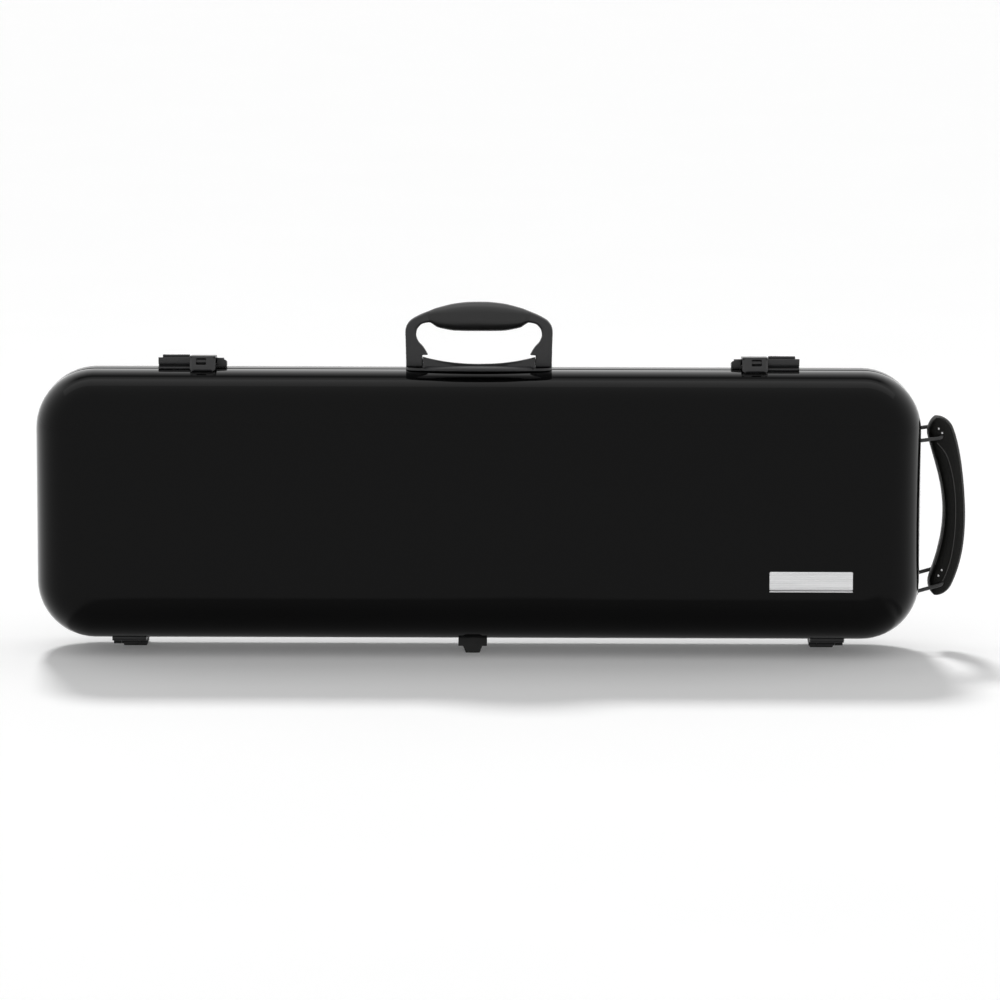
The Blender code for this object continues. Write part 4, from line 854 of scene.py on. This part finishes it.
share = np.sin(np.linspace(-np.pi / 2, np.pi / 2, 91))
angle = full_turn(64)
out = strap_width(share)[:, None] * power(np.cos(angle), 2 / 3.0)[None]
aside = power(np.sin(angle), 2 / 3.0)[None] * strap_depth(share)[:, None]
strap = skin(strap_point(share[:, None], out, aside))
strap = add_piece("end_strap_leather", strap, leather, "base", ["strap_handle"])


def on_side(run, out, lift):
    """The half depth at which a line that runs at some distance out lies on the strap's side."""
    flat = np.clip(np.abs(out) / strap_width(run), 0, 0.999)
    return (1 - flat**3.0) ** (1 / 3.0) * strap_depth(run) + lift


seam_knots = [(0.74, -6.2), (0.6, -1.2), (0.42, 0.6), (0.17, 0.9), (-0.12, 0.6), (-0.39, 0.9)]
middle_seam = smooth_curve(seam_knots + [(-0.64, 1.6), (-0.88, 1.2)], 90)
inner_run = np.linspace(0.56, -0.7, 80)
inner_seam = side_by_side(inner_run, 1.5 - strap_width(inner_run))
outer_run = np.linspace(0.93, -0.93, 90)
outer_seam = side_by_side(outer_run, strap_width(outer_run) - 2.2)
seams = []
for line in (middle_seam, inner_seam, outer_seam):
    run, out = line.T
    for side in (-1, 1):
        path = strap_point(run, out, side * on_side(run, out, 0.05))
        seams.append(tube(path, 0.5, 10, (0, 1, 0)))
add_piece("end_strap_piping", together(*seams), piping, "base")

# %% Wire loops, eyelets and rivets
def loop_path(x, z, leg, tilt, climb):
    """Out of the end wall, round a bend, across the strap and back in; z leans with y and x."""
    turn = quarter(7)
    bend = side_by_side(x - 3 + 3 * np.sin(turn), leg - 3 + 3 * np.cos(turn))
    half = np.r_[[(half_length - 9, leg), (half_length - 4, leg)], bend]
    flat = np.r_[half, half[::-1] * [1, -1]]
    rise = tilt * flat[:, 1] / leg + climb * (flat[:, 0] - half_length)
    return side_by_side(flat[:, 0], strap_y + flat[:, 1], z + rise)


def wall_at(y):
    """How far out the base's end wall stands at a depth: the half length less the edge's inset there."""
    turn = quarter(400)
    deep = base_depth - base_reach + base_reach * np.sin(turn)
    return half_length - np.interp(y, deep, base_edge * (1 - np.cos(turn)), left=0)


loop_leg = 12 + 0.8 + 1.5
turn = full_turn(25)
eyelet = rounded([(1.85, -2.5), (1.85, 1.6), (2.8, 1.6), (4.1, 0.2), (4.1, -2.5)], 0.7)
eyelet_radius, eyelet_out = eyelet.T[:, :, None]
rivet_steel = satin_finish("rivet_steel", (0.5, 0.5, 0.5), (0.62, 0.62, 0.62), 0.18, 0.3,
                           depth=0.00002, Metallic=1.0)
for word, drop, tilt, climb in (("upper", 59.6, 4.0, 0.14), ("lower", -77.0, 6.0, 0.28)):
    loop_z = middle_z + drop
    loop_x = strap_bow((loop_z + 18 * climb - strap_z) / strap_half)
    loop = tube(loop_path(loop_x, loop_z, loop_leg, tilt, climb), 1.75)
    add_piece(f"strap_wire_{word}", loop, wire, "base", [f"strap_loop_{word}"])
    eyelets = []
    for side in (-1, 1):
        y = strap_y + side * loop_leg
        x, z = wall_at(y) + eyelet_out, loop_z + side * tilt + eyelet_radius * np.sin(turn)
        eyelets.append(skin(side_by_side(x, y + eyelet_radius * np.cos(turn), z), loop=True))
    add_piece(f"strap_eyelets_{word}", together(*eyelets), satin, "base")

rivets = []
for at, out in ((0.885, -1.5), (0.83, 0.4), (-0.73, -3.2), (-0.8, -4.2)):
    for side in (-1, 1):
        at_one = np.array([at])
        seat = strap_point(at_one, np.array([out]), side * on_side(at_one, np.array([out]), 0.0))[0]
        rivets.append(screw_head(seat, 1.0, side, axis=1))
add_piece("end_strap_rivets", together(*rivets), rivet_steel, "base")

# %% [markdown]
# ## The bare plate
# A thin metal plate with nothing on it sits near the lower right of the lid.  Brushing runs along it,
# so the fine lines are stretched far in x and packed in z.

# %% Plate
plate_metal, tree, shader, place = new_finish("brushed_pale_metal", Metallic=1.0)
lines = use_group(tree, brush, place, Scale=1.0)
brushed = tint(tree, lines["Streak"], (0.56, 0.56, 0.565), (0.86, 0.86, 0.865))
feed(shader, Base_Color=brushed, Roughness=between(tree, lines["Streak"], 0.24, 0.38))
bumped(tree, shader, lines["Height"], 0.00002)
turn = quarter(6)
plate_inset = np.r_[1.0, 0, 0, 0.5 * (1 - np.cos(turn[1:])), 4.0, 8.1]
plate_y = -lid_depth - np.r_[0.1, 0.1, 0.6, 0.6 + 0.5 * np.sin(turn[1:]), 1.1, 1.1]
plate_corner = np.r_[1.0, 1.3, 1.3, 1.3 - plate_inset[3:8], 0.6, 0.2]
plate_x, plate_half, coarse = 299, 37.5, {"along": 16, "up": 4, "steps": 7}
plate = oblong_rings((plate_x, 72.5), (plate_half, 8.5), plate_inset, plate_y, plate_corner, **coarse)
edge_inset, edge_y = [0.2, 0, 0, 0.2, 0.5], -lid_depth - np.array([0.1, 0.1, 0.4, 0.7, 0.75])
edge_corner = [0.2, 0.5, 0.5, 0.4, 0.15]
edge_strip = oblong_rings((plate_x, 62.9), (plate_half, 0.7), edge_inset, edge_y, edge_corner, **coarse)
both_parts = together(skin(plate), skin(edge_strip))
add_piece("bare_name_plate", both_parts, plate_metal, "lid", ["name_plate"])

# %% [markdown]
# ## Lining of the base
# Inside, the base is filled by moulded foam covered with dark plush: a well in the outline of a
# violin, two pockets beside the neck and one at the scroll end.  The top is a flat sheet with holes,
# triangulated once; each hole's wall is its outline carried down with a rounded lip and a filleted
# floor, moved along the outline's own normals.

# %% Plush finishes
def plush_finish(name, dark, light):
    """Short pile: fibres in the bump, painted nap shading in the colour, and a soft sheen at the edges.
    """
    finish, tree, shader, place = new_finish(name, Roughness=0.95, Specular_IOR_Level=0.2,
                                             Sheen_Weight=0.5, Sheen_Roughness=0.4)
    nap = use_group(tree, pile, place, Scale=2200.0)
    # The colour runs from dark to light with the painted nap shading of the pile.
    feed(shader, Base_Color=tint(tree, nap["Painted_Nap_Shading"], dark, light))
    bumped(tree, shader, nap["Height"], 0.0004)
    return finish


plush = plush_finish("dark_plush", (0.018, 0.0185, 0.021), (0.036, 0.037, 0.041))
plush_light = plush_finish("grey_plush", (0.038, 0.039, 0.043), (0.068, 0.069, 0.075))

# %% Outlines of the well and pockets
def well_outline():
    """Half width = soft maximum of two bouts, a waist and the neck's channel; both edges, tail first."""
    lower_x, lower, upper_x, upper, neck_end = -264, 109, -98, 91, 217
    tail = lower_x - lower * np.cos(quarter(25))
    x = np.r_[tail, np.linspace(-260, -9, 62), np.linspace(-4, neck_end, 20)]
    bouts = [(lower_x, lower), (upper_x, upper)]
    bouts = [np.sqrt(np.maximum(bout**2 - (x - at) ** 2, 0)) for at, bout in bouts]
    waist = np.where((x > lower_x) & (x < upper_x), 66.0, 0)
    neck = np.where(x > upper_x, 30.0, 0)
    half = np.sum(np.array(bouts + [waist, neck]) ** 12, axis=0) ** (1 / 12)
    half[0] = 0
    end = np.linspace(np.pi / 2, 0, 8)[1:]
    x, half = np.r_[x, neck_end + 12 * np.cos(end)], np.r_[half, 18 + 12 * np.sin(end)]
    return side_by_side(np.r_[x, x[:0:-1]], middle_z + np.r_[half, -half[:0:-1]])


def moved_out(outline, distance):
    """The outline moved along its own normals; distance > 0 goes away from its inside."""
    ahead = np.roll(outline, -1, 0) - np.roll(outline, 1, 0)
    ahead /= np.linalg.norm(ahead, axis=1, keepdims=True)
    (x, z), (next_x, next_z) = outline.T, np.roll(outline, -1, 0).T
    area = np.sum(x * next_z - z * next_x)
    normal = side_by_side(ahead[:, 1], -ahead[:, 0]) * np.sign(area)
    return outline + distance * normal


sheet_y, lip = 3.0, 1.5
well_floor, pocket_floor = 59.2, 48.0
pocket_x, pocket_rise = 121, 76
pockets = [oblong_outline((pocket_x, middle_z + rise), (85, 19), 6, along=20, up=5, steps=7)
           for rise in (pocket_rise, -pocket_rise)]
pockets += [oblong_outline((310, middle_z), (65, 92), 18, along=14, up=10, steps=9)]
hollows = [(well_outline(), well_floor)] + [(pocket, pocket_floor) for pocket in pockets]

# %% Base lining
def hollow_wall(outline, floor):
    """Rings from the lip (1.5 mm round) down a slightly drawn wall and round a fillet to the floor: 5 mm
    wide, and up to 23 mm along the bouts, where the shell's own round comes close."""
    turn = quarter(6)
    round_off = 5 + 18 * np.clip((10 - outline[:, :1]) / 60, 0, 1)
    rings = [(lip * (1 - np.sin(t)), sheet_y + lip * (1 - np.cos(t))) for t in turn]
    rings += [(-0.3, 15), (-0.8, floor - 7 - round_off)]
    fillet = quarter(12)
    rings += [(-1.2 - round_off * (1 - np.cos(t)), floor - round_off * (1 - np.sin(t))) for t in fillet]
    rings = [np.insert(moved_out(outline, out), [1], y, axis=1) for out, y in rings]
    rows, columns = len(rings), len(outline)
    floor_face = np.arange((rows - 1) * columns, rows * columns)[None]
    return np.concatenate(rings), [grid_faces(rows, columns), floor_face]


def in_outline(points, outline):
    """Which points lie inside a closed outline, by counting crossings of a ray to the right."""
    a, b = outline, np.roll(outline, -1, 0)
    x, z = points[:, None, 0], points[:, None, 1]
    spans = (a[:, 1] > z) != (b[:, 1] > z)
    slope = np.where(b[:, 1] == a[:, 1], 1, b[:, 1] - a[:, 1])
    return np.sum(spans & (x < a[:, 0] + (z - a[:, 1]) / slope * (b[:, 0] - a[:, 0])), axis=1) % 2 == 1


def holed_sheet(edge, holes, y):
    """A flat sheet inside its edge with holes left out: one triangulation held to every outline."""
    loops = [edge] + holes
    starts = np.cumsum([0] + [len(loop) for loop in loops])
    orders = [start + np.arange(len(loop)) for start, loop in zip(starts, loops)]
    sides = [side_by_side(order, np.roll(order, -1)).tolist() for order in orders]
    flat = [Vector(point) for point in np.concatenate(loops)]
    points, _, faces = delaunay_2d_cdt(flat, sum(sides, []), [], 0, 1e-5)[:3]
    points, faces = np.array(points), np.array(faces)
    middles = points[faces].mean(axis=1)
    keep = in_outline(middles, edge)
    for hole in holes:
        keep &= ~in_outline(middles, hole)
    return np.insert(points, 1, y, axis=1), [faces[keep]]


lining_inset = 9.3
inset, depth, corner = half_profile(base_depth, base_edge, base_reach, shell_wall + fit, sheet_y + lip,
                                    lining_inset)
turn = quarter(6)[:-1]
inset = np.r_[lining_inset + lip * (1 - np.sin(turn)), inset]
depth = np.r_[sheet_y + lip * (1 - np.cos(turn)), depth]
corner = np.r_[case_corner - inset[:5], corner]
skirt = oblong_rings(case_middle, case_half, inset, depth, corner)
sheet = holed_sheet(skirt[0][:, [0, 2]], [moved_out(outline, lip) for outline, _ in hollows], sheet_y)
lining = together(sheet, folded_skin(skirt, first=False), *[hollow_wall(*hollow) for hollow in hollows])
base_lining = add_piece("base_plush_lining", lining, plush, "base", ["base_liner"], smooth=50)

# %% [markdown]
# ## Lining of the lid
# The lid's lining is an even soft wall.  The same profile as the shell's is used twice, once for the
# side against the shell and once for the side that shows, with a rolled lip between them.

# %% Lid lining
roll_start = 5.0
outside = half_profile(lid_depth, lid_edge, lid_reach, shell_wall + fit, roll_start, lining_inset,
                       lid_slow)
inside = half_profile(lid_depth, lid_edge, lid_reach, 7.8, roll_start, 14.3, lid_slow)
roll = np.linspace(0, np.pi, 9)[1:-1]
lip_inset = 11.8 - 2.5 * np.cos(roll)
rolled = lip_inset, roll_start - 2.0 * np.sin(roll), case_corner - lip_inset
inset, depth, corner = (np.r_[a[::-1], b, c] for a, b, c in zip(outside, rolled, inside))
lid_lining = folded_skin(oblong_rings(case_middle, case_half, inset, -depth, corner))
lid_lining = add_piece("lid_plush_lining", lid_lining, plush, "lid", ["lid_liner"], smooth=50)

# %% [markdown]
# ## Fittings inside
# A padded block with a hollow carries the violin's neck under a webbing strap.  A padded flap with a
# ribbon tab covers the upper pocket.  In the lid, a slotted cushion takes the bows' tips and two
# turning clips on posts hold their frogs.

# %% Cushions carried along x
def cushion(outline, low, high, radius, soft):
    """A softened outline carried along x, drawn in by a quarter circle at both ends."""
    outline = rounded(outline, soft, 7)
    turn = quarter(7)
    end = radius * (1 - np.sin(turn))
    place = np.r_[low + end[::-1], (low + high) / 2, high - end]
    shrink = np.r_[radius * (1 - np.cos(turn[::-1])), 0, radius * (1 - np.cos(turn))]
    rings = [np.insert(moved_out(outline, -step), 0, x, axis=1) for x, step in zip(place, shrink)]
    return skin(np.stack(rings))


def from_middle(outline):
    """An outline of y and z whose heights are given from the case's middle."""
    return [(y, middle_z + z) for y, z in outline]


half = 29.4
cradle = [(58.9, -half), (58.9, half), (31, half), (31, half / 2)]
cradle += [(39, half / 4), (39, -half / 4), (31, -half / 2), (31, -half)]
rest = cushion(from_middle(cradle), 71, 111, 4, 5)
rest = add_piece("neck_rest_cushion", rest, plush_light, "base", ["neck_cradle"],
                 smooth=60)

bow_rise, slot_half, slot_floor = 48, 8, -45.9
rest_half, rest_front, rest_back = 75, -35.9, -52.2 + fit
slots = [(rest_back, -rest_half), (rest_back, rest_half), (rest_front, rest_half)]
for middle in (bow_rise, -bow_rise):
    high, low = middle + slot_half, middle - slot_half
    slots += [(rest_front, high), (slot_floor, high), (slot_floor, low), (rest_front, low)]
slots += [(rest_front, -rest_half)]
tips = cushion(from_middle(slots), -357, -333, 3, 3.5)
tips = add_piece("bow_tip_cushion", tips, plush_light, "lid", ["bow_tip_rest"],
                 smooth=60)

# %% Neck strap, pocket flap and tab
webbing, tree, shader, place = new_finish("black_webbing", Roughness=0.75, Sheen_Weight=0.2)
threads = use_group(tree, weave, place, Scale=230.0)["Height"]
feed(shader, Base_Color=tint(tree, threads, (0.006, 0.006, 0.0065), (0.026, 0.026, 0.028)))
bumped(tree, shader, threads, 0.0003)
band = [(0.75, -46), (0.75, 46), (2.65, 46), (2.65, -46)]
band = block(from_middle(band), 79, 103, 0, 0.6)
add_piece("neck_webbing", band, webbing, "base", ["neck_strap"], bevel=0.4)

turn = np.linspace(-np.pi / 2, np.pi / 2, 11)
flap_inset = np.r_[21.4, 14, 7, 0.8 * (1 - np.cos(turn)), 2.2, 4, 8, 14, 21.4]
flap_y = np.r_[2.6, 2.6, 2.6, 1.7 - 0.9 * np.sin(turn), 0.5, 0.1, -0.25, -0.4, -0.45]
flap_corner = np.maximum(3 - flap_inset, 0.4) * np.where(flap_inset > 20, 0.5, 1)
flap_middle = (pocket_x, middle_z + pocket_rise)
flap_rings = oblong_rings(flap_middle, (88, 22), flap_inset, flap_y, flap_corner,
                          along=30, up=6, steps=6)
flap = add_piece("pocket_plush_flap", folded_skin(flap_rings), plush_light, "pocket_flap",
                 ["pocket_lid"], smooth=60)
tab = [(-1.95, 63.4), (-1.95, 55.5), (0.9, 51.9), (1.9, 52.6), (-0.85, 56.2), (-0.85, 63.4)]
ribbon = block(from_middle(tab), 113, 129, 0, 0.4)
add_piece("pocket_ribbon", ribbon, webbing, "pocket_flap", ["pocket_tab"], bevel=0.3)

# %% Bow posts and clips
def turned(profile, centre, sides=32):
    """A profile of radius and depth spun round an axis along y."""
    radius, depth = np.asarray(profile, float).T
    angle = full_turn(sides)
    x = centre[0] + radius[:, None] * np.cos(angle)
    z = centre[1] + radius[:, None] * np.sin(angle)
    return skin(side_by_side(x, depth[:, None], z))


for word, rise in (("upper", bow_rise), ("lower", -bow_rise)):
    centre = (335.0, middle_z + rise)
    post = [(5.9, -51.9), (5.9, -50.4), (5.2, -49.2), (4.3, -47), (4.1, -43), (4.8, -39.6)]
    post += [(5.2, -38.4), (5.2, -37.9)]
    post = turned(post, centre)
    add_piece(f"bow_turned_post_{word}", post, satin, "lid", [f"bow_post_{word}"])
    turn = quarter(7)
    clip_inset = np.r_[6.0, 0.8, 0.2, 0, 3 * (1 - np.cos(turn)), 5.2, 6.6]
    clip_y = np.r_[-37.6, -37.6, -37.2, -36.6, -35.4 + 2.5 * np.sin(turn), -32.75, -32.7]
    clip_corner = np.maximum(6.7 - clip_inset, 0.2)
    rings = oblong_rings(centre, (7, 25), clip_inset, clip_y, clip_corner, along=4, up=12, steps=10)
    clip = together(folded_skin(rings), screw_head((centre[0], -32.9, centre[1]), 2.6, 1, axis=1))
    add_piece(f"bow_turning_clip_{word}", clip, satin, f"clip_{word}",
              [f"bow_clip_{word}"])

# %% [markdown]
# ## Pins
# The hinge, hasp and handle pins keep their CAD solids; they only show their ends, and need nothing
# but a blackened-steel finish with a fine grain.

# %% Pins
pin_steel = satin_finish("blackened_steel", (0.05, 0.05, 0.052), (0.09, 0.09, 0.092), 0.25, 0.38, 2200.0,
                         0.00002, Metallic=1.0)
pins = [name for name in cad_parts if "_pin" in name]
for name in pins:
    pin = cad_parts[name]
    pin.data.materials.clear()
    pin.data.materials.append(pin_steel)
print("pins:", pins)
